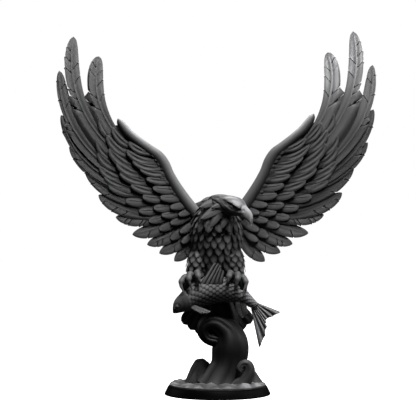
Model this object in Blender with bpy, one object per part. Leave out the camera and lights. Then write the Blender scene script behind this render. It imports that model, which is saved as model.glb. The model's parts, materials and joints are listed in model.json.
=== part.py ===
"""An eagle with raised wings that grips a carp above a breaking wave, on a round black plinth.

Metres, +Z up. The eagle faces -Y and turns its head towards +X.
The plinth has its own sizes. The figure is one casting. It is drawn in nominal millimetres above
its sole, as overlapping closed shells that are then united, and FIGURE_HEIGHT scales the result.
"""

import math
from collections import namedtuple

import bmesh
import bpy
from mathutils import Matrix, Vector

# Plinth sizes
PLINTH_HEIGHT = 0.0070
PLINTH_FOOT_RADIUS = 0.0444
PLINTH_TOP_RADIUS = 0.0410
PLINTH_EDGE_RADIUS = 0.0008
PLINTH_SIDES = 48

# Figure sizes
FIGURE_HEIGHT = 0.2953
BARE_RIM_WIDTH = 0.0010
SEAT_GAP = 0.0003
TRIANGLE_SHARE_KEPT = 0.74

# The figure's drawing, in nominal millimetres from the sole to the highest feather tip
NOMINAL_HEIGHT = 295.3
WING_ROLL = math.radians(1.25)
WING_ROLL_HEIGHT = 195.0


def mix(low, high, share):
    return low + (high - low) * share


def along(points, share):
    """The point at a share from 0 to 1 of a smooth curve through points of any dimension."""
    last = len(points) - 1
    place = min(max(share, 0.0), 1.0) * last
    i = min(int(place), last - 1)
    t = place - i
    before, start, end, after = (points[max(0, min(last, i + k))] for k in (-1, 0, 1, 2))
    return tuple(
        0.5 * (2 * b + (c - a) * t + (2 * a - 5 * b + 4 * c - d) * t * t + (3 * b - a - 3 * c + d) * t**3)
        for a, b, c, d in zip(before, start, end, after)
    )


def resampled(points, count):
    return [along(points, i / (count - 1)) for i in range(count)]


# Shells


def shell(rings):
    """A closed shell through rings of points. A ring of one point is a pointed end."""
    mesh = bmesh.new()
    loops = [[mesh.verts.new(point) for point in ring] for ring in rings]
    for near, far in zip(loops, loops[1:]):
        for i in range(max(len(near), len(far))):
            j = i + 1
            corners = (near[i % len(near)], near[j % len(near)], far[j % len(far)], far[i % len(far)])
            mesh.faces.new(dict.fromkeys(corners))
    for end in (loops[0], loops[-1]):
        if len(end) > 2:
            mesh.faces.new(end)
    bmesh.ops.triangulate(mesh, faces=mesh.faces)
    bmesh.ops.recalc_face_normals(mesh, faces=mesh.faces)
    data = bpy.data.meshes.new("shell")
    mesh.to_mesh(data)
    mesh.free()
    obj = bpy.data.objects.new("shell", data)
    bpy.context.scene.collection.objects.link(obj)
    return obj


def oval(centre, across, upward, sides, groove=0.0, turn=0.0):
    """A ring of points round centre. groove pulls every second point in by that share."""
    ring = []
    for i in range(sides):
        angle = turn + math.tau * i / sides
        reach = 1.0 - groove * (i % 2)
        ring.append(Vector(centre) + (Vector(across) * math.cos(angle) + Vector(upward) * math.sin(angle)) * reach)
    return ring


def tube(spine, sides, depth_share=1.0, groove=0.0, twist=0.0, pointed=False):
    """A shell along a spine of (x, y, z, radius). Its section is deeper along Y by depth_share."""
    rings = []
    for i, (x, y, z, radius) in enumerate(spine):
        before = Vector(spine[max(0, i - 1)][:3])
        after = Vector(spine[min(len(spine) - 1, i + 1)][:3])
        heading = (after - before).normalized()
        depth = (Vector((0, 1, 0)) - heading * heading.y).normalized()
        side = heading.cross(depth)
        rings.append(oval((x, y, z), side * radius, depth * radius * depth_share, sides, groove, twist * i))
    if pointed:
        rings[-1] = [Vector(spine[-1][:3])]
    return shell(rings)


def blade(stations):
    """A flat feather or fin lobe through (centre, side, out, half width, thickness), pointed at its end."""
    rings = []
    for centre, side, out, half_width, thickness in stations[:-1]:
        ridge, keel = out * thickness * 0.6, -out * thickness * 0.4
        rings.append([centre + side * half_width, centre + ridge, centre - side * half_width, centre + keel])
    rings.append([stations[-1][0]])
    return shell(rings)


def width_share(v, root_share, widest):
    """The width at share v of a feather: it widens up to the share widest, then rounds off to the tip."""
    widening = mix(root_share, 1.0, min(1.0, v / widest) ** 0.8)
    rounding = max(0.0, (v - widest) / (1.0 - widest))
    return widening * math.sqrt(max(0.0, 1.0 - rounding**2.8))


# Wings. Each is laid out in (x, z) for the side towards +X; mirror is -1 for the other side.
# Headings are in degrees: 0 points outwards and 90 points up. The leading vane is the upper one.

Feather = namedtuple("Feather", "tips length root_heading tip_heading lead trail split root_trail", defaults=(0.0,))

# tips: on the wing towards +X, then on the other. split: the share of the length at which the
# trailing vane steps in from its broad root, or 0. root_trail: how wide that root is.
FLIGHT_FEATHERS = (
    Feather(((94.2, 275.8), (97.6, 276.6)), 69, 52, 106, 6.2, 7.2, 0.55, 12.0),
    Feather(((116.0, 293.1), (118.6, 293.8)), 93, 50, 101, 6.4, 5.7, 0.45, 12.0),
    Feather(((130.8, 263.4), (130.5, 264.3)), 84, 42, 92, 6.6, 4.0, 0.46, 9.6),
    Feather(((129.8, 225.9), (128.8, 226.9)), 72, 26, 80, 6.4, 3.7, 0.50, 7.0),
    Feather(((124.0, 198.6), (122.3, 200.4)), 63, 18, 60, 6.4, 4.2, 0.0),
    Feather(((112.1, 178.9), (109.7, 180.6)), 58, 12, 54, 6.4, 4.6, 0.0),
    Feather(((101.7, 157.6), (98.9, 160.2)), 55, 0, 40, 5.6, 6.0, 0.0),
    Feather(((86.4, 139.8), (85.2, 141.8)), 52, -14, 8, 4.4, 7.4, 0.0),
    Feather(((73.4, 125.1), (71.8, 127.1)), 48, -26, -10, 4.8, 7.0, 0.0),
    Feather(((60.3, 116.4), (59.9, 118.4)), 44, -35, -18, 4.6, 6.6, 0.0),
    Feather(((50.2, 109.5), (50.1, 111.0)), 41, -44, -24, 4.6, 6.4, 0.0),
    Feather(((37.2, 102.3), (37.9, 104.1)), 40, -58, -42, 4.6, 6.8, 0.0),
)
ALULA = Feather(((92.6, 236.6), (92.6, 236.6)), 28, 44, 66, 2.4, 2.4, 0.0)

CovertRow = namedtuple("CovertRow", "tips count lengths headings half_width layer")

# From the hand to the body: tips is the curve that the tips follow, and layer how far they stand forward.
COVERT_ROWS = (
    CovertRow(
        ((102.0, 206.0), (98.4, 183.0), (80.0, 158.0), (59.0, 138.0), (35.0, 119.0)), 10, (30, 20), (52, -68), 5.2, 1.6
    ),
    CovertRow(
        ((94.6, 211.0), (86.8, 187.0), (68.0, 163.0), (51.0, 144.0), (35.0, 128.0)), 10, (32, 20), (46, -52), 5.0, 3.2
    ),
    CovertRow(
        ((90.3, 216.5), (79.0, 196.0), (64.0, 178.0), (48.0, 156.0), (29.6, 137.0)), 11, (28, 18), (42, -42), 4.4, 4.8
    ),
)
BACK_COVERT_ROW = CovertRow(
    ((98.0, 208.0), (90.0, 184.0), (72.0, 158.0), (54.0, 142.0), (35.0, 124.0)), 8, (34, 22), (48, -60), 6.4, 2.4
)
COVERT_STATIONS = (0.0, 0.45, 0.82, 1.0)

# (x, z, radius) from the shoulder over the wrist to the hand
ARM_SPINE = (
    (14.0, 139.0, 7.0),
    (27.0, 154.2, 6.4),
    (35.6, 164.6, 6.2),
    (42.8, 176.6, 6.0),
    (48.6, 189.4, 5.8),
    (57.6, 196.8, 5.2),
    (65.8, 202.8, 4.6),
    (74.0, 210.2, 3.8),
    (81.2, 218.6, 3.4),
    (87.0, 227.4, 2.2),
)
ARM_SHIFT = -0.9
# (x, z) on the leading and on the trailing side, from the hand to the body
PALM_EDGES = (
    ((84.0, 219.0), (97.0, 208.0)),
    ((72.0, 207.0), (103.0, 187.0)),
    ((60.0, 197.0), (93.0, 165.0)),
    ((48.0, 187.0), (79.0, 149.0)),
    ((40.0, 171.0), (58.0, 142.0)),
    ((30.0, 156.0), (45.0, 130.0)),
    ((17.0, 142.0), (25.0, 118.0)),
)
PALM_HALF_THICKNESS = 2.0


def wing_point(x, z, forward, mirror):
    """A point on the wing, forward of its middle surface, which cups towards the tips and leans back."""
    curl = max(0.0, z - 200.0)
    depth = 9.0 - 0.22 * (x - 20.0) + 0.15 * (z - 150.0) + 0.0007 * curl * curl
    point = Vector((mirror * x, depth - forward, z - WING_ROLL_HEIGHT))
    return Matrix.Rotation(-WING_ROLL, 3, "Y") @ point + Vector((0, 0, WING_ROLL_HEIGHT))


def shaft(feather, tip, v):
    """Position and heading at share v of a shaft whose heading turns evenly from root to tip."""
    first, last = math.radians(feather.root_heading), math.radians(feather.tip_heading)
    heading = mix(first, last, v)
    radius = feather.length / (last - first)
    x = tip[0] - radius * (math.sin(last) - math.sin(heading))
    z = tip[1] - radius * (math.cos(heading) - math.cos(last))
    return x, z, heading


def vane_ring(feather, tip, v, lead, trail, heights, face, mirror):
    """Four points round a feather's shaft. heights: of the leading edge, ridge, trailing edge and keel."""
    x, z, heading = shaft(feather, tip, v)
    ring = []
    for across, height in zip((lead, 0.0, -trail, 0.0), heights):
        ring.append(
            wing_point(x - math.sin(heading) * across, z + math.cos(heading) * across, face * height, mirror)
        )
    return ring


def flight_feather(feather, layer, mirror):
    """A long feather. Its trailing edge is towards the front, where it lies over the next feather."""
    tip = feather.tips[0 if mirror > 0 else 1]
    middle = (feather.split - 0.03, feather.split + 0.03) if feather.split else (0.35, 0.62)
    rings = []
    for v in (0.0, *middle, 0.82, 0.955):
        share = width_share(v, 0.55, 0.6)
        trail = feather.root_trail if v < feather.split else feather.trail * share
        half = mix(1.4, 0.9, v)
        heights = (layer - 0.7, layer + half, layer + 0.7, layer - half)
        rings.append(vane_ring(feather, tip, v, feather.lead * share, trail, heights, 1, mirror))
    rings.append([wing_point(*tip, layer, mirror)])
    return shell(rings)


def covert(feather, layer, mirror, face):
    """A short feather that stands out from the wing as a ridge; its underside is buried in the wing."""
    tip = feather.tips[0]
    rings = []
    for v in COVERT_STATIONS[:-1]:
        share = width_share(v, 0.6, 0.55)
        height = layer + mix(-1.0, 0.6, v)
        heights = (height - 1.6, height + 1.4, height - 0.4, height - 1.8)
        rings.append(vane_ring(feather, tip, v, feather.lead * share, feather.trail * share, heights, face, mirror))
    rings.append([wing_point(*tip, face * (layer - 0.4), mirror)])
    return shell(rings)


def coverts(row, mirror, face):
    """Overlapping coverts whose tips follow the row's curve from the hand to the body."""
    shells = []
    for i in range(row.count):
        share = i / (row.count - 1)
        tip = along(row.tips, share)
        heading = mix(*row.headings, share**1.15)
        bend = mix(14, 8, share)
        length = mix(*row.lengths, share)
        feather = Feather((tip, tip), length, heading - bend, heading + bend, row.half_width, row.half_width, 0.0)
        shells.append(covert(feather, row.layer, mirror, face))
    return shells


def wing(mirror):
    """The arm along the leading edge, the plate that carries the feathers, and the feathers."""
    arm = []
    for x, z, radius in resampled(ARM_SPINE, 14):
        arm.append((*wing_point(x + mirror * ARM_SHIFT, z, 1.0, mirror), radius))
    half = PALM_HALF_THICKNESS
    plate = []
    for lead, trail in PALM_EDGES:
        corners = ((lead, half), (trail, half * 0.6), (trail, -half * 0.6), (lead, -half))
        plate.append([wing_point(*corner, forward, mirror) for corner, forward in corners])
    shells = [tube(arm, 8, pointed=True), shell(plate), flight_feather(ALULA, 1.6, mirror)]
    for i, feather in enumerate(FLIGHT_FEATHERS):
        shells.append(flight_feather(feather, mix(0.9, -0.2, i / (len(FLIGHT_FEATHERS) - 1)), mirror))
    for row in COVERT_ROWS:
        shells += coverts(row, mirror, 1)
    return shells + coverts(BACK_COVERT_ROW, mirror, -1)


# Torso and thighs: rings of (x, y, z, half width, half depth) at even heights

TORSO_RINGS = (
    (-1.4, 6.0, 82.0, 11.0, 10.0),
    (-1.4, 2.5, 93.5, 18.5, 15.5),
    (-1.2, 0.5, 105.0, 20.0, 17.5),
    (-1.0, -1.5, 116.5, 20.4, 18.5),
    (-1.0, -2.0, 128.0, 20.8, 18.5),
    (-0.8, -1.0, 139.5, 19.5, 16.0),
    (-0.5, 2.0, 151.0, 11.0, 9.0),
)
LEFT_THIGH_RINGS = (
    (-17.6, -6.0, 84.0, 5.6, 6.0),
    (-17.4, -5.5, 92.5, 8.0, 9.0),
    (-16.6, -4.5, 101.0, 8.4, 11.0),
    (-15.4, -3.0, 109.5, 8.0, 11.5),
    (-13.6, -1.0, 118.0, 6.0, 9.0),
)
RIGHT_THIGH_RINGS = (
    (14.2, -6.0, 84.0, 5.8, 6.0),
    (14.0, -5.5, 92.5, 8.0, 9.0),
    (13.4, -4.5, 101.0, 8.4, 11.0),
    (12.6, -3.0, 109.5, 8.2, 11.5),
    (10.8, -1.0, 118.0, 6.0, 9.0),
)
SHINGLE_SPAN = (0.9, 0.08)


def shingled(rings, rows, around):
    """A loft through rings, stepped into staggered rows of short feathers that point down."""
    height = rings[-1][2] - rings[0][2]
    pitch = (SHINGLE_SPAN[0] - SHINGLE_SPAN[1]) * height / rows
    sides = 2 * around
    flat = [0.0] * sides
    levels = [(1.0, flat, flat)]
    for row in range(rows):
        edge = mix(*SHINGLE_SPAN, (row + 1) / rows)
        at_tip = [(i + row) % 2 for i in range(sides)]
        lift = [mix(0.2, 1.3, tip) for tip in at_tip]
        drop = [mix(0.22, -0.22, tip) * pitch for tip in at_tip]
        levels.append((edge + 0.55 * pitch / height, [-0.5] * sides, flat))
        levels.append((edge, lift, drop))
    levels.append((0.0, flat, flat))
    made = []
    for share, lift, drop in levels:
        x, y, z, half_width, half_depth = along(rings, share)
        ring = []
        for i in range(sides):
            angle = math.tau * i / sides
            across, deep = math.cos(angle) * (half_width + lift[i]), math.sin(angle) * (half_depth + lift[i])
            ring.append(Vector((x + across, y + deep, z + drop[i])))
        made.append(ring)
    return shell(made)


def torso():
    return [shingled(TORSO_RINGS, 7, 12), shingled(LEFT_THIGH_RINGS, 3, 6), shingled(RIGHT_THIGH_RINGS, 3, 6)]


# Head and neck

HEAD_CENTRE = Vector((9.8, -20.0, 148.4))
HEAD_TURN = Matrix.Rotation(math.radians(-30), 3, "Z") @ Matrix.Rotation(math.radians(12), 3, "Y")

# Along the head's own forward axis: (forward, up, half width, half height)
SKULL_RINGS = (
    (-13.0, -1.0, 6.5, 6.5),
    (-8.0, 0.0, 9.0, 8.6),
    (-1.0, 0.6, 9.4, 8.8),
    (6.0, 0.4, 8.2, 8.0),
    (11.0, -0.8, 5.4, 6.2),
    (15.0, -1.2, 3.6, 5.2),
    (19.0, -2.8, 2.9, 4.6),
    (22.0, -6.4, 2.0, 3.4),
    (22.4, -12.0, 0.5, 0.8),
)
# (forward, sideways, up, radius)
BROW_SPINE = ((-2.0, 7.6, 5.8, 2.0), (4.0, 7.6, 5.4, 2.5), (9.0, 5.6, 3.7, 2.1), (12.0, 3.6, 2.2, 1.2))
NECK_SPINE = ((3.0, -12.0, 154.0, 8.5), (0.5, -9.0, 146.5, 13.0), (-1.0, -3.0, 133.0, 16.0))

# Rings that the mane's rows of pointed feathers hang from, and end at: (x, y, z, radius)
MANE_RINGS = ((1.0, -10.0, 156.5, 9.0), (-0.5, -8.0, 142.0, 13.8), (-1.0, -4.5, 128.0, 18.6))
MANE_COUNT = 10


def head_point(forward, sideways, up):
    return HEAD_CENTRE + HEAD_TURN @ Vector((forward, sideways, up))


def head():
    rings = []
    for forward, up, half_width, half_height in SKULL_RINGS:
        across, upward = HEAD_TURN @ Vector((0, half_width, 0)), HEAD_TURN @ Vector((0, 0, half_height))
        rings.append(oval(head_point(forward, 0, up), across, upward, 10))
    shells = [shell(rings), tube(NECK_SPINE, 10)]
    for side in (1, -1):
        brow = [(*head_point(forward, side * sideways, up), radius) for forward, sideways, up, radius in BROW_SPINE]
        shells.append(tube(brow, 6, pointed=True))
    return shells


def mane():
    """Two staggered rows of pointed feathers that hang from the neck over the breast and the nape."""
    shells = []
    for row, (upper, lower) in enumerate(zip(MANE_RINGS, MANE_RINGS[1:])):
        for i in range(MANE_COUNT):
            angle = math.tau * (i + 0.5 * row) / MANE_COUNT
            outward = Vector((math.cos(angle), math.sin(angle), 0))
            root = Vector(upper[:3]) + outward * (upper[3] - 1.0)
            tip = Vector(lower[:3]) + outward * (lower[3] + 0.8) - Vector((0, 0, 2.5))
            side = Vector((-outward.y, outward.x, 0))
            out = side.cross(tip - root).normalized()
            stations = []
            for v in (0.0, 0.6, 0.9, 1.0):
                bulge = out * 1.5 * math.sin(math.pi * v)
                half_width = mix(3.4, 4.2, row) * width_share(v, 0.7, 0.5)
                stations.append((root.lerp(tip, v) + bulge, side, out, half_width, 2.6))
            shells.append(blade(stations))
    return shells


# Feet: for each, the ankle and then (knee, knuckle, claw tip) for every toe

FEET = (
    (
        (-16.8, -8.0, 89.0),
        ((-28.2, -11.0, 89.0), (-30.4, -15.0, 84.5), (-27.2, -18.0, 78.2)),
        ((-23.6, -15.0, 92.0), (-23.4, -19.4, 87.0), (-21.4, -18.6, 81.4)),
        ((-17.4, -15.5, 94.0), (-16.0, -20.2, 89.6), (-14.2, -19.4, 84.6)),
        ((-17.0, 1.0, 86.0), (-17.0, 2.0, 80.0), (-16.5, -1.0, 73.0)),
    ),
    (
        (14.0, -8.0, 89.0),
        ((10.6, -15.5, 93.6), (8.6, -20.2, 89.2), (7.8, -19.4, 84.0)),
        ((16.6, -15.0, 92.6), (15.8, -19.4, 87.0), (13.8, -18.6, 80.2)),
        ((21.6, -11.0, 89.0), (23.4, -15.0, 84.5), (19.8, -18.0, 77.6)),
        ((15.0, 1.0, 85.0), (15.0, 2.0, 79.0), (14.5, -1.0, 72.0)),
    ),
)
TOE_RADII = (3.2, 2.9, 2.5, 0.5)
# The ball of each foot on its outer side: (x, y, z, radius)
BALL_SPINES = (
    ((-18.0, -7.0, 92.0, 3.6), (-24.6, -9.0, 86.0, 4.6), (-25.6, -9.5, 79.0, 3.8), (-24.0, -9.5, 74.0, 2.0)),
    ((15.0, -7.0, 91.0, 3.6), (19.6, -9.0, 86.0, 4.4), (20.6, -9.5, 79.0, 3.4), (19.6, -9.5, 74.0, 2.0)),
)


def feet():
    shells = [tube(spine, 8) for spine in BALL_SPINES]
    for ankle, *toes in FEET:
        for toe in toes:
            spine = [(*point, radius) for point, radius in zip((ankle, *toe), TOE_RADII)]
            shells.append(tube(resampled(spine, 6), 5, pointed=True))
    return shells


# Carp

# (x, y, z, half height) from the snout over the arched back to the root of the tail
CARP_SPINE = (
    (-36.6, -11.5, 63.6, 3.6),
    (-33.0, -11.5, 65.4, 7.0),
    (-26.4, -11.0, 69.6, 9.0),
    (-18.7, -10.0, 75.4, 10.0),
    (-6.2, -9.0, 79.6, 10.8),
    (5.6, -8.5, 79.4, 10.0),
    (17.2, -8.0, 76.4, 8.4),
    (25.4, -7.5, 70.2, 6.4),
    (32.0, -7.0, 63.6, 4.2),
)
CARP_DEPTH_SHARE = 0.66

# (root, tip, half width, thickness): two dorsal, one pectoral, two anal, then the lobes of the tail
CARP_FINS = (
    ((-9.0, -8.5, 86.0), (-3.0, -9.5, 102.0), 3.6, 2.2),
    ((-4.0, -8.5, 87.0), (4.0, -9.5, 96.5), 3.2, 2.0),
    ((-22.5, -15.0, 67.5), (-6.4, -19.0, 62.6), 2.6, 2.0),
    ((16.0, -11.0, 71.0), (17.4, -14.0, 61.6), 2.4, 1.8),
    ((19.0, -11.0, 71.0), (23.4, -14.0, 56.6), 2.4, 1.8),
    ((30.0, -7.0, 64.0), (51.8, -7.5, 60.0), 4.6, 2.6),
    ((31.0, -7.0, 64.0), (45.0, -7.0, 55.6), 4.4, 2.4),
    ((31.6, -7.0, 63.0), (34.6, -8.0, 32.4), 4.6, 2.6),
    ((31.6, -7.0, 63.0), (38.6, -7.5, 43.0), 4.0, 2.4),
)


def fin(root, tip, half_width, thickness):
    """A flat lobe that widens from its root and comes to a point."""
    root, tip = Vector(root), Vector(tip)
    out = Vector((0, -1, 0))
    side = out.cross(tip - root).normalized()
    stations = []
    for v in (0.0, 0.5, 0.85, 1.0):
        stations.append((root.lerp(tip, v), side, out, half_width * width_share(v, 0.45, 0.6), thickness))
    return blade(stations)


def carp():
    body = tube(resampled(CARP_SPINE, 11), 12, depth_share=CARP_DEPTH_SHARE)
    return [body] + [fin(*lobe) for lobe in CARP_FINS]


# Tail

TAIL_ROOT = Vector((-0.6, 9.0, 88.0))
TAIL_COUNT = 9
TAIL_HEADINGS = (math.radians(-126), math.radians(-53))
TAIL_LENGTH = 48.0
TAIL_MIDDLE_LENGTH = 52.0
TAIL_SWEEP_BACK = 8.0
RUMP_SPINE = ((-1.4, 4.0, 92.0, 14.0), (-0.8, 9.0, 80.0, 11.0), (-0.4, 12.0, 66.0, 8.0))


def tail():
    """A fan of tail feathers behind the wave."""
    shells = [tube(RUMP_SPINE, 10, depth_share=0.7)]
    for i in range(TAIL_COUNT):
        share = i / (TAIL_COUNT - 1)
        centring = 1.0 - abs(2.0 * share - 1.0)
        angle = mix(*TAIL_HEADINGS, share)
        heading = Vector((math.cos(angle), 0.0, math.sin(angle)))
        side = Vector((-heading.z, 0.0, heading.x))
        length = mix(TAIL_LENGTH, TAIL_MIDDLE_LENGTH, centring)
        stations = []
        for v in (0.15, 0.6, 0.88, 0.97, 1.0):
            back = Vector((0, TAIL_SWEEP_BACK * v + 1.5 * (1 - centring), 0))
            centre = TAIL_ROOT + heading * length * v + back
            stations.append((centre, side, Vector((0, -1, 0)), 5.6 * width_share(v, 0.4, 0.8), 3.0))
        shells.append(blade(stations))
    return shells


# Water: spines of (x, y, z, radius)

WAVE_SPINE = (
    (1.0, 0.0, -2.0, 19.0),
    (4.0, 0.0, 6.0, 15.6),
    (8.6, 0.5, 16.0, 14.6),
    (10.6, 1.5, 28.0, 15.6),
    (10.4, 2.0, 37.0, 14.2),
    (6.8, 2.0, 45.0, 11.6),
    (-1.0, 1.5, 50.6, 9.4),
    (-8.0, 0.5, 50.0, 7.8),
    (-11.0, -0.5, 44.8, 6.2),
    (-8.6, -1.5, 39.6, 5.0),
    (-3.6, -2.0, 37.6, 5.2),
)
SURGE_SPINE = ((9.0, 6.0, 42.0, 10.0), (6.0, 6.0, 56.0, 10.5), (2.0, 5.0, 70.0, 10.0), (0.0, 4.0, 88.0, 9.0))
CURL_SPINE = (
    (16.0, -11.0, -1.0, 7.6),
    (22.8, -12.0, 6.0, 5.8),
    (26.2, -13.0, 13.0, 4.8),
    (24.8, -14.0, 18.6, 3.8),
    (20.8, -14.6, 19.0, 3.0),
    (18.0, -15.0, 15.6, 2.6),
    (20.0, -15.4, 13.4, 1.8),
)
CREST_SPINES = (
    ((-16.0, 10.0, -2.0, 13.0), (-14.6, 10.0, 8.0, 9.2), (-12.4, 9.0, 16.6, 6.4), (-9.4, 8.0, 21.4, 4.6)),
    ((-21.0, -4.0, -1.0, 4.6), (-19.6, -4.0, 5.0, 3.0), (-18.0, -4.0, 12.0, 0.6)),
    ((31.0, 6.0, -1.0, 8.4), (30.4, 6.0, 5.0, 5.0), (29.6, 5.0, 13.0, 0.8)),
    ((-6.0, 24.0, -1.0, 9.0), (-8.0, 23.0, 8.0, 6.6), (-10.0, 20.0, 17.0, 1.0)),
    ((17.0, 22.0, -1.0, 10.0), (18.0, 20.0, 10.0, 7.0), (20.0, 16.0, 21.0, 1.0)),
)
SHEET_SIDES = 36
SHEET_THICKNESS = 1.6
SHEET_EDGE_SLOPE = 0.6
RIPPLE_COUNT = 14
RIPPLE_RING_SHARE = 0.80


def water(sheet_radius):
    """The wave with its curls, and the rippled sheet that it rises from."""
    shells = [
        tube(resampled(WAVE_SPINE, 14), 12, depth_share=1.12, groove=0.09, twist=0.08),
        tube(SURGE_SPINE, 8, depth_share=0.8),
        tube(resampled(CURL_SPINE, 10), 7, depth_share=0.8, pointed=True),
    ]
    for spine in CREST_SPINES:
        shells.append(tube(resampled(spine, 4), 7, depth_share=0.9, pointed=True))
    top_radius = sheet_radius - SHEET_EDGE_SLOPE
    sheet = []
    for height, radius in ((-3.0, sheet_radius), (0.0, sheet_radius), (SHEET_THICKNESS, top_radius)):
        sheet.append(oval((0, 0, height), (radius, 0, 0), (0, radius, 0), SHEET_SIDES))
    shells.append(shell(sheet))
    for i in range(RIPPLE_COUNT):
        angle = math.tau * (i + 0.3 * math.sin(3.1 * i)) / RIPPLE_COUNT
        outward = Vector((math.cos(angle), math.sin(angle), 0))
        around = Vector((-outward.y, outward.x, 0))
        reach = sheet_radius * RIPPLE_RING_SHARE
        foot_width = sheet_radius * 0.17
        height = SHEET_THICKNESS + 2.2 + 1.3 * math.sin(2.3 * i) ** 2
        base = outward * reach + Vector((0, 0, -1.0))
        peak = outward * (reach - 1.5) + around * 1.5 + Vector((0, 0, height))
        shells.append(shell([oval(base, outward * foot_width * 0.9, around * foot_width, 6), [peak]]))
    return shells


# Joining


def applied(obj, modifier):
    """obj with the result of its one modifier as its own mesh."""
    bpy.context.view_layer.update()
    result = bpy.data.meshes.new_from_object(obj.evaluated_get(bpy.context.evaluated_depsgraph_get()))
    obj.modifiers.remove(modifier)
    obj.data = result
    return obj


def combine(first, second, operation):
    """first joined with, or cut by, the closed shell second, which is used up."""
    step = first.modifiers.new("Step", "BOOLEAN")
    step.operation = operation
    step.solver = "MANIFOLD"
    step.object = second
    applied(first, step)
    bpy.data.objects.remove(second)
    return first


def united(shells):
    """One solid from many overlapping shells, joined two by two."""
    while len(shells) > 1:
        pairs = [combine(a, b, "UNION") for a, b in zip(shells[::2], shells[1::2])]
        shells = pairs + (shells[-1:] if len(shells) % 2 else [])
    return shells[0]


def without_voids(obj):
    """Keeps the largest connected shell, and so fills every sealed hollow inside it."""
    mesh = bmesh.new()
    mesh.from_mesh(obj.data)
    left = set(mesh.verts)
    groups = []
    while left:
        group, edge_of_group = set(), {left.pop()}
        while edge_of_group:
            group |= edge_of_group
            edge_of_group = {e.other_vert(v) for v in edge_of_group for e in v.link_edges} - group
        left -= group
        groups.append(group)
    largest = max(groups, key=len)
    bmesh.ops.delete(mesh, geom=[v for v in mesh.verts if v not in largest], context="VERTS")
    mesh.to_mesh(obj.data)
    mesh.free()


def thinned(obj):
    """Merges the slivers and the nearly flat triangles that the joins leave."""
    collapse = obj.modifiers.new("Thin", "DECIMATE")
    collapse.ratio = TRIANGLE_SHARE_KEPT
    collapse.use_collapse_triangulate = True
    return applied(obj, collapse)


def material(name, colour, roughness):
    made = bpy.data.materials.new(name)
    made.use_nodes = True
    surface = made.node_tree.nodes["Principled BSDF"]
    surface.inputs["Base Color"].default_value = (*colour, 1.0)
    surface.inputs["Roughness"].default_value = roughness
    surface.inputs["Metallic"].default_value = 0.0
    return made


def eagle_sculpture():
    """Eagle, carp and wave as the one casting that they are."""
    nominal_millimetre = FIGURE_HEIGHT / NOMINAL_HEIGHT
    sheet_radius = (PLINTH_TOP_RADIUS - BARE_RIM_WIDTH) / nominal_millimetre
    shells = water(sheet_radius) + carp() + feet() + torso() + tail() + head() + mane() + wing(1) + wing(-1)
    below = shell([oval((0, 0, z), (200, 0, 0), (0, 200, 0), 4) for z in (-50, 0)])
    figure = combine(united(shells), below, "DIFFERENCE")
    without_voids(figure)
    figure = thinned(figure)
    sole = Matrix.Translation((0, 0, PLINTH_HEIGHT + SEAT_GAP))
    figure.data.transform(sole @ Matrix.Scale(nominal_millimetre, 4))
    figure.name = "eagle_sculpture"
    figure.data.materials.clear()
    figure.data.materials.append(material("dark_grey_resin", (0.075, 0.075, 0.078), 0.55))
    return figure


def plinth():
    """A round disc with a tapered, slightly softened edge."""
    mesh = bmesh.new()
    bmesh.ops.create_cone(
        mesh,
        cap_ends=True,
        segments=PLINTH_SIDES,
        radius1=PLINTH_FOOT_RADIUS,
        radius2=PLINTH_TOP_RADIUS,
        depth=PLINTH_HEIGHT,
    )
    bmesh.ops.translate(mesh, verts=mesh.verts, vec=(0, 0, PLINTH_HEIGHT / 2))
    edges = [e for e in mesh.edges if abs(e.verts[0].co.z - e.verts[1].co.z) < PLINTH_HEIGHT / 2]
    bmesh.ops.bevel(mesh, geom=edges, offset=PLINTH_EDGE_RADIUS, segments=2, affect="EDGES", profile=0.5)
    data = bpy.data.meshes.new("plinth")
    mesh.to_mesh(data)
    mesh.free()
    obj = bpy.data.objects.new("plinth", data)
    bpy.context.scene.collection.objects.link(obj)
    data.materials.append(material("black_plinth", (0.008, 0.008, 0.009), 0.45))
    return obj


def main():
    for obj in list(bpy.data.objects):
        bpy.data.objects.remove(obj)
    for made in (plinth(), eagle_sculpture()):
        made.data.shade_smooth()
        made.data.set_sharp_from_angle(angle=math.radians(30))


main()
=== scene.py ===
# %% [markdown]
# # An eagle lands on a carp above a breaking wave
#
# The real object is a small resin casting in matte dark grey, glued to a low black plinth.
# The solids of both are loaded first and stay as they are. This lesson makes the skin that is
# seen: every feather, scale and groove of the casting as mesh, and the finish of the resin.
# Lengths are in millimetres above the casting's sole until the very last step.

# %% The fixed frame
import json
import math
from collections import namedtuple

import bpy
from mathutils import Matrix, Vector, noise

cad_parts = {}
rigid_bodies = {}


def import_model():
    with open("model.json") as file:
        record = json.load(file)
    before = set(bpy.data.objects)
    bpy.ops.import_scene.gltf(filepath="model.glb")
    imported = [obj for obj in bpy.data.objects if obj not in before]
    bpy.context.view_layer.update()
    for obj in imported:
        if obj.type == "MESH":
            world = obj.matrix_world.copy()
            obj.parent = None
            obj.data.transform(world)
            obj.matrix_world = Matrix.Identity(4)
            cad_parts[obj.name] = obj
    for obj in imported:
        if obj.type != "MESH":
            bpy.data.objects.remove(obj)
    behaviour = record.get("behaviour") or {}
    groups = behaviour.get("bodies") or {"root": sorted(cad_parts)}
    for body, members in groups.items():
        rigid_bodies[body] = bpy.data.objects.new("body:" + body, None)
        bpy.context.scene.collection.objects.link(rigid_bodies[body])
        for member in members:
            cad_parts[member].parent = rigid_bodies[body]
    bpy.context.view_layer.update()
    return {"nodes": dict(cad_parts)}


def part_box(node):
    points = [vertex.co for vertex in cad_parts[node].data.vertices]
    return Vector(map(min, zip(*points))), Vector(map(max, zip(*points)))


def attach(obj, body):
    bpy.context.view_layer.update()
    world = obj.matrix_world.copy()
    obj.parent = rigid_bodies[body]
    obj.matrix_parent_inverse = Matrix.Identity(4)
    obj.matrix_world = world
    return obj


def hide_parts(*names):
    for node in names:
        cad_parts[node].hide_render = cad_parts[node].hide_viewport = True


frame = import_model()
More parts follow.
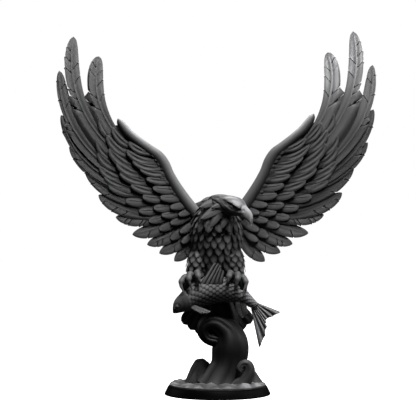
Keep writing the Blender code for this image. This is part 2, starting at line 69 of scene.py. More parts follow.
sole_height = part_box("eagle_sculpture")[0].z
bpy.ops.object.select_all(action="DESELECT")
print("solids:", sorted(frame["nodes"]), "sole at", round(sole_height * 1000, 2), "mm")

# %% [markdown]
# ## Camera
#
# The plinth's front rim sags a little and the wing tips are seen from below, so the camera is
# level, at mid height, and far away with a long lens.

# %% Camera
camera_data = bpy.data.cameras.new("camera")
camera_data.lens = 130
camera_data.sensor_width = 36
camera = bpy.data.objects.new("camera", camera_data)
camera.matrix_world = Matrix.Translation((-0.0079, -1.248, 0.1544)) @ Matrix.Rotation(math.radians(90), 4, "X")
bpy.context.scene.collection.objects.link(camera)
bpy.context.scene.camera = camera

# %% [markdown]
# ## Light, backdrop and floor
#
# The main light hangs nearly over the figure, a little in front and to the right. It grazes the
# fronts of all feathers, so their crevices stay black, and leaves the wave in the shadow of the
# rest; painted shade in the tones deepens both. A second one behind it brightens the arms' upper
# edges, the crown and the beak, which are also painted lighter. A small one on the right shapes the
# carp's tail, a weak one in front keeps the breast readable, and two behind draw thin rims. The
# backdrop is white for the camera only, so it doesn't wash out the dark casting, and the floor
# doesn't show in reflections either.


# %% Lights
def softbox(name, place, aim, width, power):
    """A square area light at a place, turned towards an aim."""
    data = bpy.data.lights.new(name, "AREA")
    data.shape = "SQUARE"
    data.size = width
    data.energy = power
    lamp = bpy.data.objects.new(name, data)
    turn = (Vector(aim) - Vector(place)).to_track_quat("-Z", "Y").to_matrix().to_4x4()
    lamp.matrix_world = Matrix.Translation(place) @ turn
    bpy.context.scene.collection.objects.link(lamp)


softbox("overhead_front", (0.10, -0.26, 0.72), (0.01, 0.0, 0.15), 0.26, 9.0)
softbox("overhead_back", (0.03, 0.06, 0.62), (0.0, 0.0, 0.18), 0.30, 3.2)
softbox("right", (0.52, -0.12, 0.40), (0.03, -0.02, 0.15), 0.14, 1.5)
softbox("front_fill", (-0.5, -1.4, 0.5), (0, 0, 0.13), 0.8, 0.9)
softbox("left_rim", (-0.9, 0.40, 0.45), (0, 0, 0.15), 0.4, 1.2)
softbox("right_rim", (0.9, 0.40, 0.45), (0, 0, 0.15), 0.4, 1.6)
softbox("back_fill", (0.3, 1.4, 0.9), (0, 0, 0.17), 0.9, 2.0)

# %% Backdrop
WHITE = (1, 1, 1, 1)


def settled(node, values):
    """A node with the plain values of its sockets set by name."""
    for socket, value in values.items():
        node.inputs[socket].default_value = value
    return node


world = bpy.data.worlds.new("studio")
world.use_nodes = True
bpy.context.scene.world = world
nodes, links = world.node_tree.nodes, world.node_tree.links
seen = settled(nodes["Background"], {"Color": WHITE})
glow = settled(nodes.new("ShaderNodeBackground"), {"Color": WHITE, "Strength": 0.02})
ray = nodes.new("ShaderNodeLightPath")
choice = nodes.new("ShaderNodeMixShader")
links.new(ray.outputs["Is Camera Ray"], choice.inputs["Fac"])
links.new(glow.outputs["Background"], choice.inputs[1])
links.new(seen.outputs["Background"], choice.inputs[2])
links.new(choice.outputs["Shader"], nodes["World Output"].inputs["Surface"])
bpy.context.scene.view_settings.view_transform = "Standard"

# %% Floor
bpy.ops.mesh.primitive_plane_add(size=6)
floor = bpy.context.object
floor.name = "floor"
floor.visible_diffuse = False
floor.visible_glossy = False
pale = bpy.data.materials.new("pale_floor")
pale.use_nodes = True
settled(
    pale.node_tree.nodes["Principled BSDF"],
    {"Base Color": (0.9, 0.9, 0.9, 1), "Roughness": 0.9, "Emission Color": WHITE, "Emission Strength": 1.0},
)
floor.data.materials.append(pale)

# %% [markdown]
# ## Sheets of points
#
# A feather, a scale-covered body and a wave are all bent sheets. Each starts as Blender's grid
# primitive, one square metre of small faces. Its points are then moved by a function that says
# where the point at the shares (u, v) of the sheet belongs. Doing 500 feathers by hand would take
# days, and a function can follow the same shaft lines as the solid.
#
# Every point also keeps a tone, its painted light and shade: from 0 where shade falls, in a groove
# or under a neighbour, to 1 on a crest, as a painted highlight. It also keeps a strand, which is how
# far along the feather its barb starts. The finish reads both later.

# %% Curves and shares
Spot = namedtuple("Spot", "point tone strand", defaults=((0, 0),))


def clamp(value):
    return min(max(value, 0.0), 1.0)


def mix(low, high, share):
    return low + (high - low) * share


def smooth(low, high, value):
    """0 before low, 1 beyond high, and an even slope between them. low may be the larger one."""
    share = clamp((value - low) / (high - low))
    return share * share * (3.0 - 2.0 * share)


def hump(value, centre, width):
    return math.exp(-(((value - centre) / width) ** 2))


def along(points, share):
    """The point at a share from 0 to 1 of a smooth curve through points of any dimension."""
    last = len(points) - 1
    place = clamp(share) * last
    i = min(int(place), last - 1)
    t = place - i
    before, start, end, after = (points[max(0, min(last, i + k))] for k in (-1, 0, 1, 2))
    return tuple(
        0.5 * (2 * b + (c - a) * t + (2 * a - 5 * b + 4 * c - d) * t * t + (3 * b - a - 3 * c + d) * t**3)
        for a, b, c, d in zip(before, start, end, after)
    )


def width_share(v, root_share, widest, pointed=0.0, blunt=2.8):
    """The width at share v of a feather, which widens up to the share widest, then rounds off."""
    v = clamp(v)
    widening = mix(root_share, 1.0, min(1.0, v / widest) ** 0.8)
    rounding = max(0.0, (v - widest) / (1.0 - widest))
    return widening * (1.0 - rounding ** mix(blunt, 1.3, pointed)) ** mix(0.5, 1.0, pointed)


# %% Grids, and how they are shaped, joined and closed
def grid(name, columns, rows):
    bpy.ops.object.select_all(action="DESELECT")
    bpy.ops.mesh.primitive_grid_add(x_subdivisions=columns, y_subdivisions=rows, size=1)
    sheet = bpy.context.object
    sheet.name = name
    return sheet


# The strands are kept in steps of 100 mm, and points closer than 0.004 mm are welded.
STRAND_STEP = 100.0
WELD_DISTANCE = 0.004


def toned(mesh, tones):
    mesh.attributes.new("tone", "FLOAT", "POINT").data.foreach_set("value", tones)


def shaped(master, place):
    """A copy of a grid with every point moved to place(u, v)."""
    sheet = master.copy()
    sheet.data = mesh = master.data.copy()
    bpy.context.scene.collection.objects.link(sheet)
    spots = [place(vertex.co.x + 0.5, vertex.co.y + 0.5) for vertex in mesh.vertices]
    mesh.vertices.foreach_set("co", [c for spot in spots for c in spot.point])
    toned(mesh, [clamp(spot.tone) for spot in spots])
    strands = [c / STRAND_STEP for loop in mesh.loops for c in spots[loop.vertex_index].strand]
    mesh.uv_layers.active.data.foreach_set("uv", strands)
    mesh.update()
    return sheet


def select_only(pieces):
    bpy.ops.object.select_all(action="DESELECT")
    for piece in pieces:
        piece.select_set(True)
    bpy.context.view_layer.objects.active = pieces[0]


def joined(name, pieces):
    select_only(pieces)
    bpy.ops.object.join()
    bpy.context.object.name = name
    return bpy.context.object


def welded(piece, lids=True):
    """Closes seams, poles and open rims, and turns every face outwards."""
    select_only([piece])
    bpy.ops.object.mode_set(mode="EDIT")
    bpy.ops.mesh.select_all(action="SELECT")
    bpy.ops.mesh.remove_doubles(threshold=WELD_DISTANCE)
    if lids:
        bpy.ops.mesh.fill_holes(sides=0)
        bpy.ops.mesh.normals_make_consistent(inside=False)
    bpy.ops.object.mode_set(mode="OBJECT")
    return piece


def facing(sheet, direction):
    """A thin sheet with its faces turned towards a direction."""
    lean = sum((face.normal * face.area for face in sheet.data.polygons), Vector())
    if lean.dot(Vector(direction)) < 0:
        sheet.data.flip_normals()
    return sheet


def thickened(piece, thickness):
    select_only([piece])
    wall = piece.modifiers.new("Thickness", "SOLIDIFY")
    wall.thickness = thickness
    wall.offset = -1
    bpy.ops.object.modifier_apply(modifier=wall.name)
    return piece


def triangles(piece):
    return sum(len(face.vertices) - 2 for face in piece.data.polygons)


# %% [markdown]
# ## The wings: long feathers
#
# Each long feather has a curved shaft that stands up as a light ridge, with a groove beside it,
# and two vanes that are split here and there into bundles of barbs. The rows of the grid run
# along the barbs, slanting from the shaft towards the tip. Where a cut is engraved, three rows
# lie close together and the middle one is pushed down and in from the edge.

# %% Where a point of a wing lies
WING_ROLL = math.radians(1.25)
WING_ROLL_HEIGHT = 195.0
SHOULDER = Vector((20.0, 9.0, 150.0))
# The wing comes forward outwards, leans back upwards, and bends back further above CUP_START.
SWEEP, LEAN, CUP = 0.22, 0.15, 0.0007
CUP_START = 200.0


def wing_point(x, z, forward, mirror):
    """A point forward of the middle surface of a wing. mirror is 1 for the wing towards +X, or -1."""
    curl = max(0.0, z - CUP_START)
    depth = SHOULDER.y - SWEEP * (x - SHOULDER.x) + LEAN * (z - SHOULDER.z) + CUP * curl * curl
    point = Vector((mirror * x, depth - forward, z - WING_ROLL_HEIGHT))
    return Matrix.Rotation(-WING_ROLL, 3, "Y") @ point + Vector((0, 0, WING_ROLL_HEIGHT))


# %% The long feathers' sizes
# tips: on the wing towards +X, then on the other. Headings: 0 points outwards and 90 up.
# cuts: (share of the length, depth share) in the trailing vane, then in the leading, upper one.
# A split feather's trailing vane is root_trail wide up to the share split, and narrow beyond it.
Feather = namedtuple(
    "Feather", "tips length root_heading tip_heading lead trail cuts split root_trail", defaults=(0.0, 0.0)
)
TRAILING, LEADING = -1, 1
FLIGHT_FEATHERS = (
    Feather(
        ((94.2, 275.8), (97.6, 276.6)), 69, 52, 106, 6.2, 7.2,
        (((0.84, 0.1), (0.73, 0.12), (0.45, 0.3), (0.3, 0.5)), ((0.74, 0.1), (0.6, 0.1), (0.42, 0.1))), 0.55, 12.0,
    ),
    Feather(
        ((116.0, 293.1), (118.6, 293.8)), 93, 50, 101, 6.4, 5.7,
        (
            ((0.85, 0.12), (0.75, 0.12), (0.65, 0.12), (0.465, 0.25), (0.4, 0.3), (0.28, 0.55)),
            ((0.68, 0.1), (0.55, 0.12)),
        ), 0.45, 12.0,
    ),
    Feather(
        ((130.8, 263.4), (130.5, 264.3)), 84, 42, 92, 6.6, 2.9,
        (((0.88, 0.1), (0.68, 0.15), (0.44, 0.2), (0.35, 0.5)), ((0.8, 0.1), (0.6, 0.1))), 0.46, 9.6,
    ),
    Feather(
        ((129.8, 225.9), (128.8, 226.9)), 72, 26, 80, 6.4, 2.8,
        (((0.78, 0.1), (0.52, 0.2), (0.4, 0.4)), ((0.7, 0.1),)), 0.50, 7.0,
    ),
    Feather(((124.0, 198.6), (122.3, 200.4)), 63, 18, 60, 6.4, 4.2, (((0.8, 0.1), (0.56, 0.3)), ((0.68, 0.1),))),
    Feather(((112.1, 178.9), (109.7, 180.6)), 58, 12, 54, 6.4, 4.6, (((0.76, 0.1), (0.5, 0.3)), ())),
    Feather(((101.7, 157.6), (98.9, 160.2)), 55, 0, 40, 5.6, 6.0, (((0.84, 0.1), (0.64, 0.1), (0.48, 0.1)), ())),
    Feather(
        ((86.4, 139.8), (85.2, 141.8)), 52, -14, 8, 4.4, 7.4,
        (((0.8, 0.1), (0.72, 0.1), (0.54, 0.1), (0.48, 0.1)), ()),
    ),
    Feather(((73.4, 125.1), (71.8, 127.1)), 48, -26, -10, 4.8, 7.0, (((0.68, 0.12),), ())),
    Feather(((60.3, 116.4), (59.9, 118.4)), 44, -35, -18, 4.6, 6.6, (((0.78, 0.1), (0.68, 0.1)), ())),
    Feather(((50.2, 109.5), (50.1, 111.0)), 41, -44, -24, 4.6, 6.4, (((0.66, 0.08),), ())),
    Feather(((37.2, 102.3), (37.9, 104.1)), 40, -58, -42, 4.6, 6.8, (((0.7, 0.08),), ())),
)
VANE_START = -24.0
VANE_THICKNESS = 1.5
VANE_COLUMNS, VANE_ROWS = 12, 42
# Rows beside a cut lie this close to it, and no other row lies closer than the clearance.
CUT_EDGE, CUT_CLEARANCE = 0.55, 0.8
# The trailing vane of a split feather ends this far from the shaft. Beyond is the web behind it.
BUNDLE_WIDTH = 6.2
# From the first feather to the last: how far along the shaft a barb reaches for each millimetre
# out, and how far forward of the wing's middle the feather lies
BARB_SLOPES = (1.3, 0.5)
VANE_LAYERS = (0.9, -0.2)


# %% One long feather
def shaft(feather, tip, v):
    """Position and heading at share v of a shaft whose heading turns evenly from root to tip."""
    first, last = math.radians(feather.root_heading), math.radians(feather.tip_heading)
    heading = mix(first, last, v)
    radius = feather.length / (last - first)
    x = tip[0] - radius * (math.sin(last) - math.sin(heading))
    z = tip[1] - radius * (math.cos(heading) - math.cos(last))
    return x, z, heading


def vane_width(feather, v, side):
    share = width_share(v, 0.55, 0.6, pointed=0.0 if feather.split else 0.3)
    if side == LEADING:
        return feather.lead * share
    narrow = feather.trail * share
    if not feather.split:
        return narrow
    return mix(feather.root_trail, narrow, smooth(feather.split - 0.05, feather.split + 0.03, v))


def cuts_on(feather, side):
    return feather.cuts[0 if side == TRAILING else 1]


def barb_end(feather, start, slope, side):
    """How far from the shaft the barb that leaves it at start meets the feather's edge."""
    near, far = 0.0, 12.0
    for _ in range(14):
        middle = (near + far) / 2
        if vane_width(feather, (start + slope * middle) / feather.length, side) > middle:
            near = middle
        else:
            far = middle
    return near


def barb_rows(feather, slope):
    """For each row of the grid: its start, its reach to both sides, and its cuts' depths."""
    starts = {}
    for side in (TRAILING, LEADING):
        for share, depth in cuts_on(feather, side):
            starts.setdefault(share * feather.length, {})[side] = depth
    fine = []
    for start, cuts in starts.items():
        fine += [(start - CUT_EDGE, {}), (start, cuts), (start + CUT_EDGE, {})]
    wanted = VANE_ROWS + 1 - len(fine)
    even, count = [], wanted
    while len(even) < wanted:
        places = [mix(VANE_START, feather.length, i / (count - 1)) for i in range(count)]
        even = [(place, {}) for place in places if all(abs(place - start) > CUT_CLEARANCE for start in starts)]
        count += 1
    rows = []
    for start, cuts in sorted(fine + even[len(even) - wanted :], key=lambda row: row[0]):
        reach = {side: barb_end(feather, start, slope, side) for side in (TRAILING, LEADING)}
        rows.append((start, reach, cuts))
    return rows


def vane_height(side, away, reach, start, cuts, feather):
    """How far a point of a vane stands forward, and its tone: painted highlight on raised parts and at the edge,
    painted shade in grooves and on the web behind a split vane.
    """
    edge = away / max(reach, 0.01)
    ridge = 0.6 * hump(away, 0.0, 0.55) - 0.4 * hump(away, 1.4 if side == LEADING else 1.6, 0.7)
    ridge *= 1.0 if feather.split else 0.35
    swell = 0.25 * math.sin(math.pi * min(edge, 1.0)) - 0.35 * smooth(0.85, 1.0, edge)
    step = notch = 0.0
    for share, depth in cuts_on(feather, side):
        beyond = start - share * feather.length
        notch += 4.5 * depth * hump(beyond, 0.0, 1.2)
        if beyond > 0.1:
            step += (0.2 + 0.7 * depth) * math.exp(-beyond / 4.0) * edge
    engraved = -0.9 * smooth(0.05, 0.3, edge) if side in cuts else 0.0
    height = ridge + swell + step + engraved
    # Painted highlight where the vane stands forward and at its edge, painted shade where it sinks.
    tone = 0.5 + 0.5 * height + 0.15 * edge**4
    # The web behind a split vane's bundles sinks, and is painted dark as the shade there.
    if side == TRAILING and feather.split:
        behind = smooth(0.0, 1.2, away - BUNDLE_WIDTH + notch)
        height -= behind * (1.6 + 0.16 * away)
        tone *= 1.0 - 0.65 * behind
    return height, tone


def flight_feather(master, feather, layer, slope, mirror, painted_light_factor):
    """One feather as a grid. A factor of painted light scales its tone, and painted shade darkens it towards its
    root, where the coverts lie over it.
    """
    tip = feather.tips[0 if mirror > 0 else 1]
    rows = barb_rows(feather, slope)

    def place(u, v):
        start, reaches, cuts = rows[round(v * VANE_ROWS)]
        side = LEADING if u > 0.5 else TRAILING
        reach = reaches[side]
        away = abs(2.0 * u - 1.0) ** 1.5 * reach * (1.0 - cuts.get(side, 0.0))
        x, z, heading = shaft(feather, tip, min(1.0, (start + slope * away) / feather.length))
        relief, tone = vane_height(side, away, reach, start, cuts, feather)
        fade = smooth(feather.length, feather.length - 8.0, start)
        relief, tone = relief * fade, mix(0.4, tone, fade)
        forward = layer + 0.6 - side * away * 0.16 + relief
        x, z = x - math.sin(heading) * side * away, z + math.cos(heading) * side * away
        # Painted light of the whole feather, and painted shade towards its root, where the coverts lie over it.
        tone *= painted_light_factor * mix(0.4, 1.0, smooth(0.2, 0.65, start / feather.length))
        return Spot(wing_point(x, z, forward, mirror), tone, (away, start))

    return facing(shaped(master, place), (0, -1, 0))


# %% All long feathers of both wings
# Painted light: the top feathers are painted lightest, as if nearest the lamp, the middle ones
# darkest, as if in shade, and the other wing is painted darker, as if less light fell on it.
vane_grid = grid("vane_grid", VANE_COLUMNS, VANE_ROWS)
flight = []
for mirror in (1, -1):
    for i, feather in enumerate(FLIGHT_FEATHERS):
        share = i / (len(FLIGHT_FEATHERS) - 1)
        layer, slope = mix(*VANE_LAYERS, share), mix(*BARB_SLOPES, share)
        painted_light_factor = mix(1.7, 0.28, smooth(0.0, 0.34, share)) + 0.3 * smooth(0.5, 0.8, share)
        if mirror < 0:
            painted_light_factor *= mix(0.35, 0.75, smooth(0.15, 0.6, share))
        flight.append(flight_feather(vane_grid, feather, layer, slope, mirror, painted_light_factor))
long_feathers = thickened(welded(joined("long_feathers", flight), lids=False), VANE_THICKNESS)
print("long feathers:", len(flight), "with", triangles(long_feathers), "triangles")

# %% [markdown]
# ## The wings: coverts
#
# Shorter leaf-shaped feathers lie over the roots of the long ones in three rows, and a row of
# tiny barbs comes out from under the arm. Those towards the hand are long and bent, with two
# ridges that follow the bend. Those near the body are round with one short double ridge. Their
# lower edges stand out, so each throws a dark line on the next, and each is painted dark as shade
# at its root and along its upper side, where its neighbours cover it. Their ridges are painted
# light. They are closed below with a flat lid that is buried in the wing, which costs few faces.

# %% Reading places off the photo
PIXEL = 0.83
MIDDLE_COLUMN, SOLE_ROW = 217.5, 385.3


def read_off(column, row):
    """Where a spot of the photo lies, as (x, z) in the frame of the wing before it is rolled."""
    x, z = (column - MIDDLE_COLUMN) * PIXEL, (SOLE_ROW - row) * PIXEL
    return Vector((x + WING_ROLL * (z - WING_ROLL_HEIGHT), z - WING_ROLL * x))


# %% Coverts on the front
# Each row: how far forward it lies, and for each covert from the hand to the body its tip, its
# root and its half width, as columns and rows of the photo.
COVERT_ROWS = (
    (
        1.3,
        (
            ((334, 113.5), (318, 132), 5.6), ((337.5, 135.5), (320, 153), 5.2), ((337, 146.5), (317, 163), 5.4),
            ((336, 161.5), (314, 174), 5.2), ((331.5, 171), (310, 181), 4.6), ((328, 180.5), (303, 189), 5.2),
            ((312, 196), (290, 198.5), 5.0), ((299, 207), (279, 207), 4.6), ((290, 217.5), (269, 213), 4.8),
            ((280, 226.5), (262, 219), 5.0), ((269, 237), (255, 226), 5.0),
        ),
    ),
    (
        2.5,
        (
            ((322, 122.5), (303, 141), 4.4), ((327.5, 130), (305, 150), 5.2), ((326, 143), (301, 162), 5.8),
            ((319.5, 157.5), (294, 170), 5.6), ((316.5, 168), (289, 178), 5.2), ((306, 180.5), (281, 188), 5.0),
            ((295, 192.5), (273, 196), 5.0), ((284.5, 204.5), (264, 204), 4.8), ((277, 212.5), (256, 210), 4.4),
            ((268.5, 221), (250, 214.5), 4.6), ((259.5, 230.5), (245, 222), 4.4), ((258, 241), (247, 232), 4.2),
        ),
    ),
    (
        3.7,
        (
            ((306.5, 138), (284, 148), 4.2), ((309, 146), (283, 157), 4.8), ((303.5, 156.5), (276, 163), 5.0),
            ((296.5, 165), (270, 169.5), 4.6), ((290.5, 175), (266, 178), 4.6), ((284.5, 184.5), (261, 187.5), 4.8),
            ((277.5, 194.5), (255, 195), 4.8), ((268, 205), (249, 201), 4.4), ((260, 213), (244, 207), 4.0),
        ),
    ),
    (
        3.4,
        (
            ((294, 146.5), (281, 148), 2.0), ((285, 151.5), (270, 151), 2.0), ((282, 156), (267, 155.5), 2.0),
            ((279, 160.5), (265, 160), 2.0), ((276, 165.5), (263, 164), 2.0), ((276, 170.5), (262, 168.5), 2.0),
            ((277.5, 174.5), (261, 173), 2.0), ((272, 179.5), (258, 178), 2.0), ((268.5, 185.5), (255, 183.5), 2.0),
            ((264.5, 191.5), (252, 189), 2.0),
        ),
    ),
)

# %% Coverts on the back, which the photo doesn't show
# Rows of fewer, larger coverts: tips, headings, lengths from the hand to the body, half width and
# how far back they lie, in millimetres. 0 points outwards and 90 up.
CovertRow = namedtuple("CovertRow", "tips headings lengths half_width layer")

BACK_COVERT_ROWS = (
    CovertRow(
        (
            (98.0, 208.0), (96.0, 194.0), (88.0, 177.0), (78.0, 163.0), (68.0, 152.0),
            (58.0, 142.5), (47.0, 133.0), (36.0, 124.0),
        ),
        (46, 36, 24, 10, -4, -18, -36, -56), (36, 22), 6.2, 1.8,
    ),
    CovertRow(
        (
            (92.0, 214.0), (86.0, 200.0), (79.0, 187.0), (71.0, 175.0), (62.0, 164.0),
            (53.0, 154.0), (43.0, 144.0), (32.0, 134.0),
        ),
        (44, 36, 26, 14, 0, -14, -30, -48), (32, 20), 5.8, 3.2,
    ),
    CovertRow(
        (
            (86.0, 218.0), (77.0, 206.0), (69.0, 196.0), (62.0, 186.0), (55.0, 175.0),
            (47.0, 164.0), (38.0, 153.0), (28.0, 143.0),
        ),
        (44, 38, 30, 20, 8, -8, -24, -42), (26, 10), 5.2, 4.6,
    ),
)


# %% One covert
def covert_relief(side, share):
    """Ridges along a covert: two long ones near the hand, a short double one near the body."""
    long_ones = 0.4 * hump(side, -0.57, 0.2) - 0.45 * hump(side, -0.14, 0.14) + 0.36 * hump(side, 0.29, 0.2)
    short_one = (0.3 * hump(side, 0.14, 0.12) - 0.3 * hump(side, 0.0, 0.08)) * smooth(0.95, 0.7, share)
    return mix(long_ones, short_one, smooth(0.4, 0.6, share))


COVERT_SPREAD = 1.06
# How much further than it is seen a covert reaches in under the row above. A barb is shortened.
COVERED_SHARE = 0.2
# The other wing is painted darker, as if less light fell on it.
COVERT_PAINTED_LIGHT = {1: 1.0, -1: 0.6}


def covert(master, tip, root, half_width, layer, mirror, face, share):
    """share is 0 at the hand and 1 at the body, where coverts are straighter and rounder."""
    run = tip - root
    upward = Vector((-run.y, run.x)).normalized()
    sag = run.length * mix(0.10, 0.02, smooth(0.2, 0.6, share))

    def place(u, v):
        v = 1.0 - (1.0 - v) ** 1.35
        side = 2.0 * u - 1.0
        away = side * half_width * COVERT_SPREAD * width_share(v, 0.75, 0.5, blunt=2.4) * (1.0 if side < 0 else 0.9)
        flat = root + run * v + upward * (away - sag * math.sin(math.pi * v))
        window = smooth(0.2, 0.45, v) * (1.0 - smooth(0.72, 0.95, v)) * (1.0 - side**4)
        ridges = covert_relief(side, share) * window * min(1.0, half_width / 3.0)
        crown = 0.45 * (1.0 - abs(side) ** 4) - 0.8 * side - 0.8 * smooth(0.5, 1.0, side)
        forward = layer + mix(-1.2, 0.9, v**0.8) + min(1.0, half_width / 3.0) * crown + ridges
        if v > 0.999:
            forward = layer - 0.4
        # Painted shade at the root, under the row above, and on the upper side, under the upper neighbour; painted
        # highlight on the ridges; the other wing and the tiny barbs are painted darker.
        tone = (mix(0.02, 0.22, smooth(0.2, 0.5, v)) + 0.9 * ridges) * COVERT_PAINTED_LIGHT[mirror]
        tone *= mix(1.0, 0.04, smooth(0.3, 0.85, side)) * min(1.0, (half_width / 2.8) ** 2)
        strand = (away, run.length * v - abs(away))
        return Spot(wing_point(*flat, face * forward, mirror), tone, strand)

    return shaped(master, place)


# %% All coverts of both wings
covert_grid = grid("covert_grid", 14, 10)
back_covert_grid = grid("back_covert_grid", 8, 8)
barb_grid = grid("barb_grid", 5, 5)
pieces = []
for mirror in (1, -1):
    for layer, row in COVERT_ROWS:
        for i, (tip, root, half_width) in enumerate(row):
            size = half_width * PIXEL
            master = covert_grid if size > 2.0 else barb_grid
            share = i / (len(row) - 1)
            tip, root = read_off(*tip), read_off(*root)
            root += (root - tip) * (COVERED_SHARE if master == covert_grid else -COVERED_SHARE)
            pieces.append(covert(master, tip, root, size, layer, mirror, 1, share))
    for row in BACK_COVERT_ROWS:
        for i, (tip, heading) in enumerate(zip(row.tips, row.headings)):
            share = i / (len(row.tips) - 1)
            angle = math.radians(heading)
            root = Vector(tip) - Vector((math.cos(angle), math.sin(angle))) * mix(*row.lengths, share)
            pieces.append(covert(back_covert_grid, Vector(tip), root, row.half_width, row.layer, mirror, -1, share))
covert_count = len(pieces)
coverts = welded(joined("coverts", pieces))
print("coverts:", covert_count, "with", triangles(coverts), "triangles")

# %% [markdown]
# ## The wings: arm and plate
#
# The arm is one smooth limb from the shoulder over the wrist to the hand. Its upper edge is painted
# light, as the brightest line of the figure, and its lower side painted dark as shade. A grid rolled
# into a tube makes it, flatter than round. A thin plate behind the coverts closes the gaps between
# them, and is painted dark as the shade there.

# %% Tubes
def tube(master, spine, depth_share=1.0, relief=None, tone=0.5, shade=None):
    """A grid rolled up along a spine of (x, y, z, radius). relief(angle, v) raises its surface, and
    shade(angle, v) gives its tone where that isn't the same all over."""

    def place(u, v):
        x, y, z, radius = along(spine, v)
        heading = (Vector(along(spine, v + 0.01)[:3]) - Vector(along(spine, v - 0.01)[:3])).normalized()
        depth = (Vector((0, 1, 0)) - heading * heading.y).normalized()
        side = heading.cross(depth)
        angle = math.tau * u
        lift = relief(angle, v) if relief else 0.0
        across, deep = math.cos(angle) * (radius + lift), math.sin(angle) * (radius * depth_share + lift)
        # Raised parts are painted lighter and sunk ones darker, as painted highlight and shade.
        spot_tone = (shade(angle, v) if shade else tone) * (1.0 + 0.5 * lift)
        return Spot(Vector((x, y, z)) + side * across + depth * deep, spot_tone)

    return shaped(master, place)


# %% Arms and plates
# (column, row, radius) in the photo, from the shoulder over the wrist to the hand
ARM_SPINE = (
    (236, 218, 7.0), (246, 205, 6.6), (254, 193, 6.2), (261, 181, 5.8), (266, 171, 5.6),
    (270, 161.5, 6.0), (275.5, 153, 5.8), (283.5, 146.2, 5.0), (293.5, 138.3, 4.8),
    (303, 130, 4.8), (309, 122.4, 4.4), (312.6, 116.6, 3.2), (314.2, 113.4, 0.5),
)
ARM_LAYER = 2.2
# How far each arm lies outwards of where the photo's right one is seen, and its painted light at
# the body, higher on the other arm, as if more light fell on it
ARM_SHIFT = {1: 0.0, -1: 1.5}
ARM_PAINTED_LIGHT = {1: 0.6, -1: 0.8}
# (x, z) of a plate's upper edge, then of its lower one, from the body to the hand
PLATE_EDGES = (
    (17.0, 142.0, 25.0, 118.0),
    (30.0, 156.0, 45.0, 130.0),
    (40.0, 171.0, 58.0, 142.0),
    (48.0, 187.0, 80.0, 149.0),
    (60.0, 197.0, 96.0, 166.0),
    (72.0, 207.0, 109.0, 190.0),
    (99.0, 215.0, 112.0, 207.0),
    (108.0, 223.0, 115.0, 217.0),
)
PLATE_THICKNESS = 1.6


def arm(master, mirror):
    spine = []
    for column, row, radius in ARM_SPINE:
        x, z = read_off(column, row)
        x, z = x + ARM_SHIFT[mirror], z - 0.4 * ARM_SHIFT[mirror]
        spine.append((*wing_point(x, z, ARM_LAYER, mirror), radius * PIXEL))

    def shade(angle, v):
        """Painted light along the upper edge, which the light from above reaches, and towards the hand, and painted
        shade where the coverts start.
        """
        lit = mix(ARM_PAINTED_LIGHT[mirror], 1.0, smooth(0.45, 0.75, v))
        return mix(0.06, lit, smooth(-0.7, 0.9, mirror * math.cos(angle)))

    return tube(master, spine, 0.75, shade=shade)


def plate(master, mirror):
    def place(u, v):
        upper_x, upper_z, lower_x, lower_z = along(PLATE_EDGES, v)
        forward = mix(0.3, -0.6, smooth(0.6, 0.85, v))
        # The plate is painted dark, as the shade in the gaps between the coverts.
        return Spot(wing_point(mix(upper_x, lower_x, u), mix(upper_z, lower_z, u), forward, mirror), 0.12)

    return facing(shaped(master, place), (0, -1, 0))


arm_grid = grid("arm_grid", 20, 48)
plate_grid = grid("plate_grid", 6, 16)
arms = welded(joined("arms", [arm(arm_grid, mirror) for mirror in (1, -1)]))
plates = thickened(joined("plates", [plate(plate_grid, mirror) for mirror in (1, -1)]), PLATE_THICKNESS)
print("arms and plates:", triangles(arms) + triangles(plates), "triangles")

# %% [markdown]
# ## Leaves on a body
#
# The same leaf shape covers the breast, thighs and nape, and the carp's scales. Each leaf lies on
# a straight line from its root to its tip, is crowned, and stands out most at its round tip. Where
# the row above covers it, it is painted dark as shade, and its tip and ridge are painted light.


# %% One leaf
def leaf(
    master, root, tip, out, half_width, bulge, crown, ridge,
    widest=0.5, root_share=0.8, bow=0.0, pointed=0.0, painted_light=0.75, covered=0.45,
):
    """A small feather from root to tip that faces out. bow bends it sideways, and its painted light is
    the tone at its tip. covered is the share of its length that lies under the row above, which is
    painted dark as shade."""
    root, tip, out = Vector(root), Vector(tip), Vector(out).normalized()
    run = tip - root
    side_axis = out.cross(run).normalized()
    length = run.length

    def place(u, v):
        v = 1.0 - (1.0 - v) ** 1.4
        side = 2.0 * u - 1.0
        width = half_width * width_share(v, root_share, widest, pointed, blunt=2.4)
        line = ridge * (hump(side, 0.0, 0.2) - 0.6 * hump(abs(side), 0.4, 0.16)) * smooth(0.0, 0.3, v) * (1 - v**6)
        height = bulge * math.sin(math.pi * v**0.8) + crown * (1.0 - abs(side) ** 2.2) + line
        centre = root + run * v + side_axis * (bow * math.sin(math.pi * v))
        # Painted shade where the row above covers it and towards its edges, painted highlight on the ridge.
        tone = mix(0.03, painted_light, smooth(covered, covered + 0.35, v)) * (1.0 - 0.5 * abs(side) ** 3) + 0.6 * line
        away = side * width
        return Spot(centre + side_axis * away + out * height, tone, (away, length * v - abs(away)))

    return shaped(master, place)


